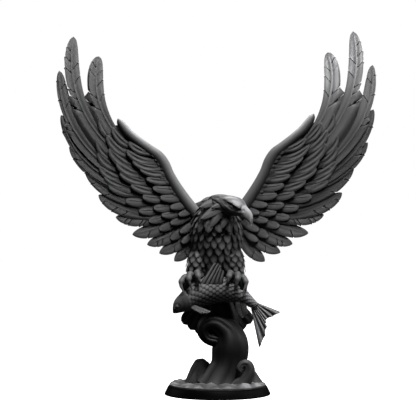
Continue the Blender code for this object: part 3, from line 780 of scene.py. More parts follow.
# %% Torso and thighs
# (x, y, z, half width, half depth) of each ring, from the bottom up
TORSO_RINGS = (
    (-1.4, 6.0, 82.0, 11.0, 10.0),
    (-1.4, 2.5, 93.5, 18.5, 15.5),
    (-1.2, 0.5, 105.0, 20.0, 17.5),
    (-1.0, -1.5, 116.5, 20.4, 18.5),
    (-1.0, -2.0, 128.0, 20.8, 18.5),
    (-0.8, -1.0, 139.5, 19.5, 16.0),
    (-0.5, 2.0, 151.0, 11.0, 9.0),
)
THIGH_RINGS = (
    (
        (-17.6, -6.0, 84.0, 5.6, 6.0),
        (-17.4, -5.5, 92.5, 8.0, 9.0),
        (-16.6, -4.5, 101.0, 8.4, 11.0),
        (-15.4, -3.0, 109.5, 8.0, 11.5),
        (-13.6, -1.0, 118.0, 6.0, 9.0),
    ),
    (
        (14.2, -6.0, 84.0, 5.8, 6.0),
        (14.0, -5.5, 92.5, 8.0, 9.0),
        (13.4, -4.5, 101.0, 8.4, 11.0),
        (12.6, -3.0, 109.5, 8.2, 11.5),
        (10.8, -1.0, 118.0, 6.0, 9.0),
    ),
)


def on_rings(rings, angle, share, lift):
    x, y, z, half_width, half_depth = along(rings, share)
    return Vector((x + math.cos(angle) * (half_width + lift), y + math.sin(angle) * (half_depth + lift), z))


def loft(master, rings, lift):
    # The body under the leaves is painted nearly black, as the shade between them.
    return shaped(master, lambda u, v: Spot(on_rings(rings, math.tau * u, v, lift), 0.03))


def shingles(master, rings, rows, around, tip_shares, length_share, half_width):
    """Staggered rows of leaves that hang down on a loft."""
    leaves = []
    for row in range(rows):
        tip_share = mix(*tip_shares, row / (rows - 1))
        for i in range(around):
            angle = math.tau * (i + 0.5 * (row % 2)) / around + 0.05 * math.sin(7.0 * i + 3.0 * row)
            share = tip_share + 0.010 * math.sin(5.0 * i + 11.0 * row)
            width = half_width * (1.0 + 0.1 * math.sin(3.0 * i + 5.0 * row))
            root = on_rings(rings, angle, share + length_share, -1.6)
            tip = on_rings(rings, angle, share, 1.0)
            out = (math.cos(angle), math.sin(angle), 0.0)
            leaves.append(leaf(master, root, tip, out, width, 0.15, 0.4, 0.04, 0.45, covered=0.42))
    return leaves


loft_grid = grid("loft_grid", 32, 20)
body_leaf_grid = grid("body_leaf_grid", 5, 6)
pieces = [loft(loft_grid, TORSO_RINGS, -0.8)]
pieces += shingles(body_leaf_grid, TORSO_RINGS, 10, 19, (0.12, 0.86), 0.2, 3.1)
for rings in THIGH_RINGS:
    pieces.append(loft(loft_grid, rings, -0.8))
    pieces += shingles(body_leaf_grid, rings, 6, 9, (0.06, 0.66), 0.28, 2.7)
torso = welded(joined("torso", pieces))
print("torso:", triangles(torso), "triangles")

# %% [markdown]
# ## Head and neck
#
# The head is turned to the eagle's left and lowered. Skull and beak are one loft whose rings
# stand across the head's own forward axis. The lines of the face are ridges and grooves along
# drawn lines: the brow that overhangs the eye as in every eagle, the wedge of shadow below it,
# the cheek, the edge of the beak and the cere. Broad pointed feathers hang from the nape.

# %% Skull and beak
HEAD_CENTRE = Vector((9.8, -20.0, 148.4))
HEAD_TURN = Matrix.Rotation(math.radians(-30), 3, "Z") @ Matrix.Rotation(math.radians(12), 3, "Y")

# (forward, up, half width, half height)
SKULL_RINGS = (
    (-17.8, 3.4, 0.4, 0.4),
    (-15.4, 2.6, 5.2, 3.8),
    (-10.0, 0.8, 8.2, 7.2),
    (-4.0, 0.7, 8.9, 7.9),
    (2.0, 0.9, 8.5, 7.9),
    (7.0, 0.9, 7.2, 7.3),
    (10.5, 0.3, 5.7, 6.5),
    (13.0, -0.8, 4.6, 5.4),
    (15.2, -2.0, 4.0, 4.7),
    (18.0, -3.2, 3.4, 4.5),
    (20.6, -4.8, 2.7, 4.1),
    (22.7, -7.6, 1.9, 3.0),
    (22.5, -10.8, 0.5, 0.6),
)
# Lines on the side of the head: their points as (forward, up), height and half width
FACE_LINES = (
    (((1.1, 0.4), (5.0, -1.5), (10.2, -2.3), (14.6, -2.6)), 0.6, 0.9),
    (((-2.4, 4.6), (-0.8, 3.0), (1.2, 1.6)), -0.5, 0.6),
    (((-6.0, 0.4), (-2.0, -2.4), (3.0, -4.4), (6.4, -5.2)), -0.8, 0.8),
    (((-14.0, 5.0), (-9.0, 5.6), (-5.0, 4.0)), -0.6, 0.6),
    (((-16.0, 2.4), (-10.0, 2.4), (-6.0, 0.6)), -0.7, 0.6),
    (((13.4, 3.6), (13.2, 0.5), (13.8, -3.2)), -0.5, 0.5),
)
MOUTH_LINE = ((6.4, -5.2), (10.6, -4.7), (15.0, -5.8), (18.5, -6.8), (21.7, -9.4))
BROW_LINE = ((-5.0, 5.6), (-1.0, 4.9), (3.0, 4.1), (7.0, 2.9), (11.0, 1.3), (13.6, 0.2))
NOSTRIL = (15.6, -0.4)
EYE = (5.9, 1.1)
EYE_SIDEWAYS, EYE_RADIUS = 6.9, 1.35


def head_point(forward, sideways, up):
    return HEAD_CENTRE + HEAD_TURN @ Vector((forward, sideways, up))


def line_distance(points, forward, up):
    """How far a spot on the side of the head is from a line through points."""
    spot, nearest = Vector((forward, up)), 99.0
    for start, end in zip(map(Vector, points), map(Vector, points[1:])):
        run = end - start
        share = clamp((spot - start).dot(run) / run.length_squared)
        nearest = min(nearest, (spot - start - run * share).length)
    return nearest


def skull_relief(angle, forward, up):
    """Height of the face's lines over the plain loft. They fade towards its top and underside."""
    lift = sum(
        height * hump(line_distance(points, forward, up), 0.0, width) for points, height, width in FACE_LINES
    )
    above_brow = up - along(BROW_LINE, (forward + 5.0) / 18.6)[1]
    lift += 1.1 * smooth(-0.4, 0.5, above_brow) * smooth(-6.0, 1.0, forward) * (1.0 - smooth(12.6, 14.4, forward))
    lift += 1.3 * hump(above_brow, 1.2, 1.5) * smooth(4.0, 8.5, forward) * (1.0 - smooth(11.4, 12.8, forward))
    lift -= 0.9 * hump(above_brow, -0.8, 0.6) * smooth(1.0, 3.5, forward) * (1.0 - smooth(11.0, 13.0, forward))
    lift -= 0.8 * hump(math.dist((forward, up), EYE), 0.0, 1.8)
    lift -= 0.9 * hump(math.dist((forward, up), NOSTRIL), 0.0, 0.7)
    mouth = along(MOUTH_LINE, (forward - 6.4) / 15.3)[1]
    lift -= 1.1 * smooth(0.0, 0.7, mouth - up) * smooth(6.0, 8.0, forward) * (1.0 - smooth(20.0, 22.0, forward))
    lift += 0.7 * hump(forward, 14.8, 1.3) * smooth(-3.5, -1.0, up)
    return lift * smooth(0.12, 0.5, abs(math.cos(angle)))


def on_skull(u, v):
    forward, up, half_width, half_height = along(SKULL_RINGS, v)
    angle = math.tau * u
    rise = up + math.sin(angle) * half_height
    lift = skull_relief(angle, forward, rise)
    streak = 0.14 * math.sin(9.0 * angle + 0.5 * forward)
    streak *= 1.0 - smooth(6.0, 12.0, forward)
    streak *= smooth(0.2, 0.6, math.sin(angle))
    half_width, half_height = half_width + lift + streak, half_height + 0.3 * lift + streak
    squarer = 1.0 + 0.06 * math.sin(2 * angle) ** 2
    sideways, upwards = math.cos(angle) * half_width * squarer, math.sin(angle) * half_height * squarer
    point = head_point(forward, sideways, up + upwards)
    # Painted highlight on raised lines and on the beak, painted shade in the grooves.
    return Spot(point, 0.55 + 0.34 * lift + 1.4 * streak + 0.55 * smooth(12.5, 14.5, forward))


skull_grid = grid("skull_grid", 68, 76)
pieces = [shaped(skull_grid, on_skull)]

# %% Eyes and neck
# (x, y, z, radius), as in every other spine
NECK_SPINE = ((3.0, -12.0, 154.0, 8.5), (0.5, -9.0, 146.5, 13.0), (-1.0, -3.0, 133.0, 16.0))
neck_grid = grid("neck_grid", 24, 10)
# The neck under the mane is painted nearly black, as the shade there.
pieces.append(tube(neck_grid, NECK_SPINE, tone=0.05))
for side in (1, -1):
    centre = head_point(EYE[0], side * EYE_SIDEWAYS, EYE[1])
    bpy.ops.mesh.primitive_uv_sphere_add(segments=20, ring_count=12, radius=EYE_RADIUS, location=centre)
    eye = bpy.context.object
    bpy.ops.object.transform_apply()
    # The eyes are painted light, as the glint in them.
    toned(eye.data, [0.8] * len(eye.data.vertices))
    pieces.append(eye)

# %% Nape and mane
MANE_RINGS = (
    (1.0, -10.0, 156.5, 9.0), (0.0, -9.0, 147.5, 12.4), (-0.6, -7.5, 138.5, 15.4), (-1.0, -4.5, 129.0, 18.8),
)
MANE_COUNT = 13
# (root, tip, half width) of the long feathers that the turned neck sweeps to one side
NAPE_LANCETS = (
    ((-1.0, -14.0, 154.6), (-14.2, -12.0, 152.2), 2.2),
    ((4.0, -19.5, 153.4), (-15.0, -17.5, 147.4), 3.4),
    ((8.0, -25.0, 150.6), (-5.4, -23.5, 147.0), 2.4),
    ((6.0, -24.0, 148.6), (-13.8, -21.0, 137.8), 3.9),
    ((3.0, -25.0, 143.0), (-5.9, -23.0, 131.0), 3.2),
    ((8.0, -24.5, 138.6), (1.6, -22.6, 128.8), 3.0),
    ((-6.0, -21.5, 139.0), (-9.8, -21.0, 129.0), 2.9),
)
leaf_grid = grid("leaf_grid", 8, 10)
for row, (upper, lower) in enumerate(zip(MANE_RINGS, MANE_RINGS[1:])):
    for i in range(MANE_COUNT):
        angle = math.tau * (i + 0.5 * row) / MANE_COUNT
        outward = Vector((math.cos(angle), math.sin(angle), 0))
        root = Vector(upper[:3]) + outward * (upper[3] - 1.8)
        tip = Vector(lower[:3]) + outward * (lower[3] + 0.6) - Vector((0, 0, 2.5))
        width = mix(2.8, 3.8, row / 2)
        out = outward + Vector((0, 0, 0.3))
        pieces.append(leaf(leaf_grid, root, tip, out, width, 0.8, 0.5, 0.1, pointed=0.3, painted_light=0.55, covered=0.3))
for root, tip, half_width in NAPE_LANCETS:
    out = (-0.3, -1.0, 0.35)
    lancet = leaf(leaf_grid, root, tip, out, half_width, 0.4, 0.5, 0.2, 0.45, bow=-0.8, pointed=0.45, covered=0.05)
    pieces.append(lancet)
head = welded(joined("head", pieces))
print("head and neck:", triangles(head), "triangles")

# %% [markdown]
# ## Feet
#
# Three toes of each foot reach over the carp's back and end in long curved claws. The fourth
# grips from behind, and the ball of the foot fills the space between them, painted dark as the
# shade there. Each toe is a tube with swellings at its joints, and its claw is slim and smooth.

# %% Toes
FEET = (
    (
        (-16.8, -8.0, 89.0),
        ((-26.6, -11.0, 90.0), (-30.2, -15.0, 84.5), (-27.4, -18.0, 77.8)),
        ((-22.6, -15.0, 92.4), (-23.2, -19.4, 87.0), (-21.2, -18.6, 80.4)),
        ((-16.6, -15.5, 94.0), (-15.4, -20.2, 89.2), (-13.6, -19.4, 83.6)),
        ((-17.0, 1.0, 86.0), (-17.0, 2.0, 80.0), (-16.5, -1.0, 73.0)),
    ),
    (
        (14.0, -8.0, 89.0),
        ((10.4, -15.5, 93.6), (8.8, -20.2, 89.2), (7.4, -19.4, 83.2)),
        ((16.2, -15.0, 92.6), (16.0, -19.4, 87.0), (13.6, -18.6, 79.4)),
        ((20.6, -11.0, 90.0), (23.4, -15.0, 84.5), (20.2, -18.0, 76.8)),
        ((15.0, 1.0, 85.0), (15.0, 2.0, 79.0), (14.5, -1.0, 72.0)),
    ),
)
TOE_RADII = (3.2, 2.7, 1.9, 0.25)
# (x, y, z, radius) of the balls of the feet, on their outer sides, painted dark as shade
BALL_SPINES = (
    ((-18.0, -7.0, 92.0, 3.6), (-24.6, -9.0, 86.0, 4.6), (-25.6, -9.5, 79.0, 3.8), (-24.0, -9.5, 74.0, 2.0)),
    ((15.0, -7.0, 91.0, 3.6), (19.6, -9.0, 86.0, 4.4), (20.6, -9.5, 79.0, 3.4), (19.6, -9.5, 74.0, 2.0)),
)


def toe_relief(angle, v):
    """Rounded joints up to the claw, which is smooth and set off by a ring."""
    joints = 0.34 * abs(math.sin(v * 14.0)) * (1.0 - smooth(0.56, 0.62, v))
    return joints - 0.15 + 0.35 * hump(v, 0.6, 0.04) - 0.3 * hump(v, 0.68, 0.04)


toe_grid = grid("toe_grid", 10, 22)
pieces = []
for ankle, *toes in FEET:
    for toe in toes:
        spine = [(*point, radius) for point, radius in zip((ankle, *toe), TOE_RADII)]
        pieces.append(tube(toe_grid, spine, relief=toe_relief, tone=0.6))
# The balls of the feet are painted dark, as the shade between the toes and the carp.
pieces += [tube(toe_grid, spine, tone=0.05) for spine in BALL_SPINES]
feet = welded(joined("feet", pieces))
print("feet:", triangles(feet), "triangles")

# %% [markdown]
# ## The carp
#
# The body is a loft of upright sections, so its arched back and straight belly are set apart. One
# scale is a leaf of 16 faces, and about 340 copies lie in staggered rows from the gill cover to
# the tail, each as wide as its share of the girth. The head is smooth. Fins are flat grids with
# one ridge for each ray.

# %% Carp's body
# (x, y, top, bottom, half depth) from the snout to the root of the tail
CARP_RINGS = (
    (-37.0, -11.5, 64.8, 62.4, 0.8),
    (-36.5, -11.5, 68.6, 60.8, 3.0),
    (-34.4, -11.5, 72.6, 60.4, 4.8),
    (-30.0, -11.3, 77.2, 61.2, 6.0),
    (-24.0, -11.0, 82.8, 62.6, 6.8),
    (-15.0, -10.0, 89.2, 65.6, 7.3),
    (-6.0, -9.0, 91.0, 68.0, 7.4),
    (3.0, -8.6, 90.8, 69.4, 7.1),
    (11.0, -8.2, 88.4, 69.6, 6.5),
    (19.0, -8.0, 83.4, 68.4, 5.7),
    (25.0, -7.6, 77.8, 66.2, 4.8),
    (30.0, -7.2, 72.0, 64.0, 3.4),
    (33.4, -7.0, 68.4, 65.6, 1.2),
)
GILL_TOP, GILL_BOTTOM = (-27.6, 80.0), (-20.4, 63.0)
CARP_EYE = (-33.4, 66.4)
CARP_MOUTH = ((-37.5, 63.6), (-33.6, 62.2))


def on_carp(angle, share, lift=0.0):
    """angle is 0 on the back and a quarter turn on the side towards the front."""
    x, y, top, bottom, half_depth = along(CARP_RINGS, share)
    middle, half_height = (top + bottom) / 2, (top - bottom) / 2
    return Vector((x, y - math.sin(angle) * (half_depth + lift), middle + math.cos(angle) * (half_height + lift)))


def before_gill(x, z):
    """How far a spot lies in front of the edge of the gill cover, which bulges backwards."""
    share = (z - GILL_BOTTOM[1]) / (GILL_TOP[1] - GILL_BOTTOM[1])
    edge = mix(GILL_BOTTOM[0], GILL_TOP[0], share) + 2.4 * math.sin(math.pi * clamp(share))
    return edge - x


def carp_skin(u, v):
    angle = math.tau * u
    spot = on_carp(angle, v)
    ahead = before_gill(spot.x, spot.z)
    lift = -0.7 + 1.3 * smooth(-0.3, 0.5, ahead) - 0.3 * hump(ahead, 3.6, 0.6)
    lift -= 0.5 * smooth(4.0, 8.0, ahead)
    from_eye = math.dist((spot.x, spot.z), CARP_EYE)
    lift += 0.6 * hump(from_eye, 0.0, 1.1) - 0.6 * hump(from_eye, 1.9, 0.5)
    lift -= 0.8 * hump(line_distance(CARP_MOUTH, spot.x, spot.z), 0.0, 0.5)
    # The head is painted light where raised and dark where sunk; the skin under the scales is painted nearly black,
    # as the shade between them.
    return Spot(on_carp(angle, v, lift), 0.42 + 0.3 * lift if ahead > 0 else 0.05)


carp_grid = grid("carp_grid", 44, 84)
pieces = [shaped(carp_grid, carp_skin)]

# %% Scales
SCALE_ROWS = 25
SCALE_TIPS = (0.36, 0.985)
# From this share of the body on, a row has fewer scales.
SLIM_SHARE = 0.74
SCALES_AROUND, SLIM_SCALES_AROUND = 17, 12
scale_grid = grid("scale_grid", 4, 4)
for row in range(SCALE_ROWS):
    share = mix(*SCALE_TIPS, row / (SCALE_ROWS - 1))
    _, _, top, bottom, half_depth = along(CARP_RINGS, share)
    girth = math.tau * math.sqrt(((top - bottom) ** 2 / 4 + half_depth**2) / 2)
    around = SCALES_AROUND if share < SLIM_SHARE else SLIM_SCALES_AROUND
    for i in range(around):
        angle = math.tau * (i + 0.5 * (row % 2)) / around
        tip = on_carp(angle, share, 0.5)
        if before_gill(tip.x, tip.z) > -1.2:
            continue
        root = on_carp(angle, share - 0.06, -1.1)
        out = (0.0, -math.sin(angle), math.cos(angle))
        half_width = 0.56 * girth / around
        # Each scale is painted light at its tip and dark as shade where the row before covers it.
        pieces.append(leaf(scale_grid, root, tip, out, half_width, 0.05, 0.2, 0.0, 0.6, painted_light=1.5, covered=0.36))
scaled_carp = welded(joined("carp_body", pieces))
print("carp's body:", triangles(scaled_carp), "triangles")

# %% Fins
# Each fin: its base and its outer edge as lines of points (x, y, z), its number of rays, and its
# painted light on a ray, which is lower on the two anal fins
CARP_FINS = (
    (
        ((-14.5, -16.2, 84.5), (-5, -16.2, 85), (4.2, -15.8, 85)),
        ((-3.4, -18.4, 102.3), (1.2, -18.4, 101.5), (2.1, -17.8, 97.2), (5.6, -17.4, 94.8)),
        5,
        1.0,
    ),
    (
        ((-23, -15.2, 68.8), (-21.8, -15.6, 64.8)),
        ((-5.8, -19, 62.6), (-8.8, -19, 61.2), (-14.5, -18, 61.4)),
        5,
        1.0,
    ),
    (((14.5, -12, 70.5), (18, -12, 70.3)), ((17.2, -14.4, 60.2), (20.4, -14.4, 56.6)), 4, 0.35),
    (((18.4, -11.6, 70.3), (22.8, -11.2, 69.2)), ((21.8, -14, 57.6), (24.6, -13.6, 60.8)), 4, 0.35),
    (
        ((32.6, -7, 69.0), (30.4, -7, 66.4), (27.6, -7, 64.0)),
        (
            (51.9, -7.4, 61.3), (46.1, -7.2, 58.0), (40.9, -7.2, 55.8), (39.2, -7.4, 53.6),
            (40.1, -7.6, 49.0), (38.8, -7.8, 41.0), (34.2, -8, 31.8),
        ),
        7,
        1.0,
    ),
)
FIN_THICKNESS = 1.4


def on_line(points, share):
    """The point at a share of a line of straight stretches."""
    place = clamp(share) * (len(points) - 1)
    i = min(int(place), len(points) - 2)
    return Vector(points[i]).lerp(Vector(points[i + 1]), place - i)


def fin(master, base, edge, rays, painted_light):
    def place(u, v):
        ray = abs(math.sin(math.pi * rays * u))
        point = on_line(base, u).lerp(on_line(edge, u), v * (1.0 - 0.012 * (1.0 - ray)))
        lift = 1.3 * ray * (0.35 + 0.65 * v) * smooth(0.0, 0.2, v)
        # Rays are painted light as highlight, and the fin between them dark as shade.
        return Spot(point + Vector((0, -lift, 0)), painted_light * mix(0.1, 1.0, smooth(0.2, 0.7, ray)))

    return facing(shaped(master, place), (0, -1, 0))


fin_grid = grid("fin_grid", 54, 6)
carp_fins = thickened(joined("carp_fins", [fin(fin_grid, *shape) for shape in CARP_FINS]), FIN_THICKNESS)
carp = joined("carp", [scaled_carp, carp_fins])
print("carp:", triangles(carp), "triangles")

# %% [markdown]
# ## Tail
#
# Nine feathers fan out behind the wave. They hang in its shadow, so a shaft and two smooth vanes
# are enough.

# %% Tail feathers
TAIL_ROOT = Vector((-0.6, 9.0, 88.0))
TAIL_COUNT = 9
TAIL_HEADINGS = (math.radians(-126), math.radians(-53))
TAIL_LENGTHS = (48.0, 52.0)
TAIL_HALF_WIDTH = 5.6
TAIL_SWEEP_BACK = 8.0
RUMP_SPINE = ((-1.4, 4.0, 92.0, 14.0), (-0.8, 9.0, 80.0, 11.0), (-0.4, 12.0, 66.0, 8.0))
tail_grid = grid("tail_grid", 8, 12)
# The rump is painted dark, as the shade behind the wave.
pieces = [tube(neck_grid, RUMP_SPINE, 0.7, tone=0.1)]
for i in range(TAIL_COUNT):
    share = i / (TAIL_COUNT - 1)
    centring = 1.0 - abs(2.0 * share - 1.0)
    angle = mix(*TAIL_HEADINGS, share)
    heading = Vector((math.cos(angle), 0.0, math.sin(angle)))
    length = mix(*TAIL_LENGTHS, centring)
    back = 1.5 * (1 - centring) + (0.7 if i % 2 else 0.0)
    root = TAIL_ROOT + heading * length * 0.15 + Vector((0, TAIL_SWEEP_BACK * 0.15 + back, 0))
    tip = TAIL_ROOT + heading * length + Vector((0, TAIL_SWEEP_BACK + back, 0))
    # The side towards the front is painted dark, as the shadow of the wave, and the back side lighter.
    for out, painted_light in (((0, -1, 0), 0.1), ((0, 1, 0), 0.75)):
        pieces.append(leaf(tail_grid, root, tip, out, TAIL_HALF_WIDTH, 0.6, 1.2, 0.6, 0.8, 0.4, painted_light=painted_light))
tail = welded(joined("tail", pieces))
print("tail:", triangles(tail), "triangles")

# %% [markdown]
# ## The wave
#
# A column of water rises, leans and breaks over to the left. Its surface has broad shallow bands
# that twist with the flow. A small curl rolls up in front, and pointed crests stand around it.
# The sheet of water below is choppy. Three ripples that run in different directions are laid
# over each other, and where all three are high a small three-sided peak stands up.

# %% Column, curl and crests
WAVE_SPINE = (
    (1.0, 0.0, -2.0, 19.0),
    (4.0, 0.0, 6.0, 15.6),
    (8.6, 0.5, 16.0, 14.4),
    (10.6, 1.5, 28.0, 15.3),
    (10.4, 2.0, 37.0, 14.2),
    (6.8, 2.0, 45.0, 11.6),
    (-1.0, 1.5, 50.6, 9.4),
    (-8.0, 0.5, 50.0, 7.8),
    (-11.0, -0.5, 44.8, 6.2),
    (-8.6, -1.5, 39.6, 5.0),
    (-3.6, -2.0, 37.6, 5.4),
    (1.5, -1.5, 37.0, 5.0),
)
SURGE_SPINE = ((9.0, 6.0, 42.0, 10.0), (6.0, 6.0, 56.0, 10.5), (2.0, 5.0, 70.0, 10.0), (0.0, 4.0, 88.0, 9.0))
CURL_SPINE = (
    (16.0, -11.0, -1.0, 7.6),
    (22.8, -12.0, 6.0, 5.8),
    (26.2, -13.0, 13.0, 4.8),
    (24.8, -14.0, 18.6, 3.8),
    (20.8, -14.6, 19.0, 3.0),
    (18.0, -15.0, 15.6, 2.6),
    (20.0, -15.4, 13.4, 1.8),
)
CREST_SPINES = (
    (
        (-16.0, 10.0, -2.0, 13.0), (-15.0, 10.0, 7.0, 10.0), (-13.6, 9.5, 14.0, 8.0),
        (-12.6, 9.0, 19.0, 5.6), (-12.0, 9.0, 21.4, 0.3),
    ),
    ((-21.0, -4.0, -1.0, 4.6), (-19.6, -4.0, 5.0, 3.0), (-18.0, -4.0, 12.0, 0.6)),
    ((31.0, 6.0, -1.0, 8.4), (30.4, 6.0, 5.0, 5.0), (29.6, 5.0, 13.0, 0.8)),
    ((-6.0, 24.0, -1.0, 9.0), (-8.0, 23.0, 8.0, 6.6), (-10.0, 20.0, 17.0, 1.0)),
    ((17.0, 22.0, -1.0, 10.0), (18.0, 20.0, 10.0, 7.0), (20.0, 16.0, 21.0, 1.0)),
)


def flow(count, twist, depth):
    """Long rounded swells with sharp grooves between them."""
    return lambda angle, v: depth * (abs(math.sin(angle * count / 2 + twist * v)) ** 0.6 - 0.85)


column_flow = flow(8, 2.6, 1.2)


def column_shade(angle, v):
    """Painted light and shade: lighter at the foot and along the right side, which the light reaches, nearly black
    above, as the shadow of the carp and the eagle, and darker in the grooves.
    """
    rim = 0.14 * smooth(0.5, 1.0, -math.cos(angle)) * smooth(0.46, 0.3, v)
    return (0.34 * smooth(0.27, 0.02, v) + rim) * (1.0 + 0.7 * column_flow(angle, v))


column_grid = grid("column_grid", 60, 48)
crest_grid = grid("crest_grid", 28, 16)
curl_grid = grid("curl_grid", 28, 44)
# The surge that rises into the body is painted black, as the shade beneath it.
pieces = [
    tube(column_grid, WAVE_SPINE, 1.12, column_flow, shade=column_shade),
    tube(crest_grid, SURGE_SPINE, 0.8, flow(7, 1.0, 0.6), tone=0.01),
    tube(curl_grid, CURL_SPINE, 0.8, flow(6, 1.5, 0.8), tone=0.34),
]
pieces += [tube(crest_grid, spine, 0.9, flow(5, 0.8, 0.5), tone=0.26) for spine in CREST_SPINES]

# %% The sheet of water
SHEET_RADIUS = 40.0
SHEET_THICKNESS = 1.4
# (direction in radians, pitch in millimetres) of the ripples
RIPPLES = ((0.3, 14.0), (2.3, 17.0), (4.5, 13.0))


def chop(x, y):
    """Height of the ripples: half of their mean, and what all three have in common."""
    shift = 0.5 * noise.noise(Vector((x * 0.07, y * 0.07, 1.0)))
    waves = []
    for way, pitch in RIPPLES:
        place = (x * math.cos(way) + y * math.sin(way)) / pitch + shift
        waves.append(2.0 * abs(place % 1.0 - 0.5))
    return 0.5 * sum(waves) / 3 + min(waves)


def on_sheet(u, v):
    reach = SHEET_RADIUS * min(1.0, v / 0.96)
    x, y = math.cos(math.tau * u) * reach, math.sin(math.tau * u) * reach
    if v > 0.999:
        return Spot(Vector((x, y, 0.0)), 0.3)
    ripple = chop(x, y)
    # Painted highlight on the ripples, and painted light towards the far left and right, against the shadow of the
    # wings.
    tone = (0.16 + 0.65 * ripple) * (1.0 + 0.8 * smooth(12.0, 34.0, abs(x)))
    height = SHEET_THICKNESS + 3.0 * ripple * (0.6 + 0.4 * smooth(-10.0, -30.0, y))
    height = mix(height, 1.0 + 0.6 * ripple, smooth(SHEET_RADIUS - 3.0, SHEET_RADIUS, reach))
    return Spot(Vector((x, y, height)), tone)


sheet_grid = grid("sheet_grid", 124, 28)
pieces.append(shaped(sheet_grid, on_sheet))
water = welded(joined("water", pieces))
print("water:", triangles(water), "triangles")

# %% [markdown]
# ## One casting
#
# Everything is one cast piece, so all sheets are joined into one object. It is scaled from
# millimetres to metres, lifted onto the plinth, and cut off flat at its sole.

# %% Join, scale and cut
figure = joined("eagle_figure", [long_feathers, coverts, arms, plates, torso, head, feet, carp, tail, water])
figure.data.transform(Matrix.Translation((0, 0, sole_height)) @ Matrix.Scale(0.001, 4))
select_only([figure])
bpy.ops.object.mode_set(mode="EDIT")
bpy.ops.mesh.select_all(action="SELECT")
bpy.ops.mesh.bisect(plane_co=(0, 0, sole_height), plane_no=(0, 0, 1), clear_inner=True, use_fill=True)
bpy.ops.object.mode_set(mode="OBJECT")
bpy.ops.object.shade_smooth_by_angle(angle=math.radians(48))
for master in [thing for thing in bpy.data.objects if thing.name.endswith("_grid")]:
    bpy.data.objects.remove(master)
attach(figure, "root")
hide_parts("eagle_sculpture")
print("the casting:", triangles(figure), "triangles")

# %% [markdown]
# ## Plinth
#
# A turned disc with a tapered side. A cylinder with a smaller top gives the taper, and a bevel
# softens both edges as on the real one.

# %% Plinth
plinth_low, plinth_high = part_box("plinth")
PLINTH_FOOT_RADIUS = 0.0444
PLINTH_TOP_RADIUS = 0.0410
PLINTH_EDGE = 0.0009
bpy.ops.object.select_all(action="DESELECT")
bpy.ops.mesh.primitive_cone_add(
    vertices=144,
    radius1=PLINTH_FOOT_RADIUS,
    radius2=PLINTH_TOP_RADIUS,
    depth=plinth_high.z - plinth_low.z,
    location=(0, 0, (plinth_low.z + plinth_high.z) / 2),
)
plinth = bpy.context.object
plinth.name = "plinth_disc"
bpy.ops.object.transform_apply()
soft_edge = plinth.modifiers.new("Soft edge", "BEVEL")
soft_edge.width = PLINTH_EDGE
soft_edge.segments = 4
soft_edge.limit_method = "ANGLE"
bpy.ops.object.modifier_apply(modifier=soft_edge.name)
bpy.ops.object.shade_smooth_by_angle(angle=math.radians(30))
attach(plinth, "root")
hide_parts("plinth")

# %% [markdown]
# ## Finishes
#
# The casting is resin with a matte dark coat. Raised edges are painted lighter, as painted
# highlight, and grooves and covered parts darker, as painted shade. The tone that was kept with
# every point drives this. Fine barbs come from the strands, as a bump that is too small to be worth
# faces.

# %% Fine grain, used by both finishes
grain = bpy.data.node_groups.new("fine grain", "ShaderNodeTree")
grain.interface.new_socket("Scale", in_out="INPUT", socket_type="NodeSocketFloat").default_value = 900.0
for socket in ("Height", "Patches"):
    grain.interface.new_socket(socket, in_out="OUTPUT", socket_type="NodeSocketFloat")
grain_in, grain_out = grain.nodes.new("NodeGroupInput"), grain.nodes.new("NodeGroupOutput")
place = grain.nodes.new("ShaderNodeTexCoord")
fine = settled(grain.nodes.new("ShaderNodeTexNoise"), {"Detail": 4})
patches = settled(grain.nodes.new("ShaderNodeTexNoise"), {"Scale": 70, "Detail": 3})
grain.links.new(place.outputs["Object"], fine.inputs["Vector"])
grain.links.new(place.outputs["Object"], patches.inputs["Vector"])
grain.links.new(grain_in.outputs["Scale"], fine.inputs["Scale"])
grain.links.new(fine.outputs["Fac"], grain_out.inputs["Height"])
grain.links.new(patches.outputs["Fac"], grain_out.inputs["Patches"])


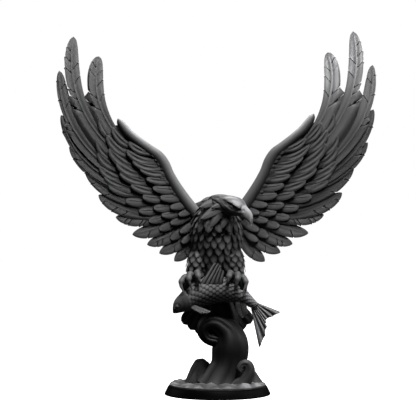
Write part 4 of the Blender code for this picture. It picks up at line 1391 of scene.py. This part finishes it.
def finish(name, specular, rough_low, rough_high, grain_strength):
    """A material with the grain in its roughness and relief, its surface node and its relief node."""
    made = bpy.data.materials.new(name)
    made.use_nodes = True
    nodes, links = made.node_tree.nodes, made.node_tree.links
    surface = settled(nodes["Principled BSDF"], {"Specular IOR Level": specular})
    texture = nodes.new("ShaderNodeGroup")
    texture.node_tree = grain
    gloss = settled(nodes.new("ShaderNodeMapRange"), {"To Min": rough_low, "To Max": rough_high})
    links.new(texture.outputs["Patches"], gloss.inputs["Value"])
    links.new(gloss.outputs["Result"], surface.inputs["Roughness"])
    relief = settled(nodes.new("ShaderNodeBump"), {"Strength": grain_strength, "Distance": 0.0001})
    links.new(texture.outputs["Height"], relief.inputs["Height"])
    links.new(relief.outputs["Normal"], surface.inputs["Normal"])
    return made, surface, relief


# %% Finish of the casting: its tones of painted light and shade
resin, surface, relief = finish("dark_grey_resin", 0.16, 0.42, 0.60, 0.25)
nodes, links = resin.node_tree.nodes, resin.node_tree.links
tone = nodes.new("ShaderNodeAttribute")
tone.attribute_name = "tone"
shade = nodes.new("ShaderNodeValToRGB")
shade.color_ramp.elements[0].color = (0.003, 0.003, 0.0032, 1)
shade.color_ramp.elements[1].color = (0.18, 0.18, 0.184, 1)
# Tones above 0.88 climb fast to a painted highlight on the highest ridges.
shade.color_ramp.elements.new(0.88).color = (0.102, 0.102, 0.1045, 1)
links.new(tone.outputs["Fac"], shade.inputs["Fac"])
links.new(shade.outputs["Color"], surface.inputs["Base Color"])

# %% Finish of the casting: its barbs
strand = nodes.new("ShaderNodeUVMap")
strand.uv_map = "UVMap"
barbs = settled(nodes.new("ShaderNodeTexWave"), {"Scale": 32.0})
barbs.bands_direction = "Y"
barb_bump = settled(nodes.new("ShaderNodeBump"), {"Strength": 0.35, "Distance": 0.0002})
links.new(strand.outputs["UV"], barbs.inputs["Vector"])
links.new(barbs.outputs["Fac"], barb_bump.inputs["Height"])
links.new(barb_bump.outputs["Normal"], relief.inputs["Normal"])
figure.data.materials.clear()
figure.data.materials.append(resin)

# %% Finish of the plinth
black, surface, _ = finish("black_plinth", 0.02, 0.36, 0.52, 0.15)
settled(surface, {"Base Color": (0.001, 0.001, 0.0011, 1)})
plinth.data.materials.clear()
plinth.data.materials.append(black)
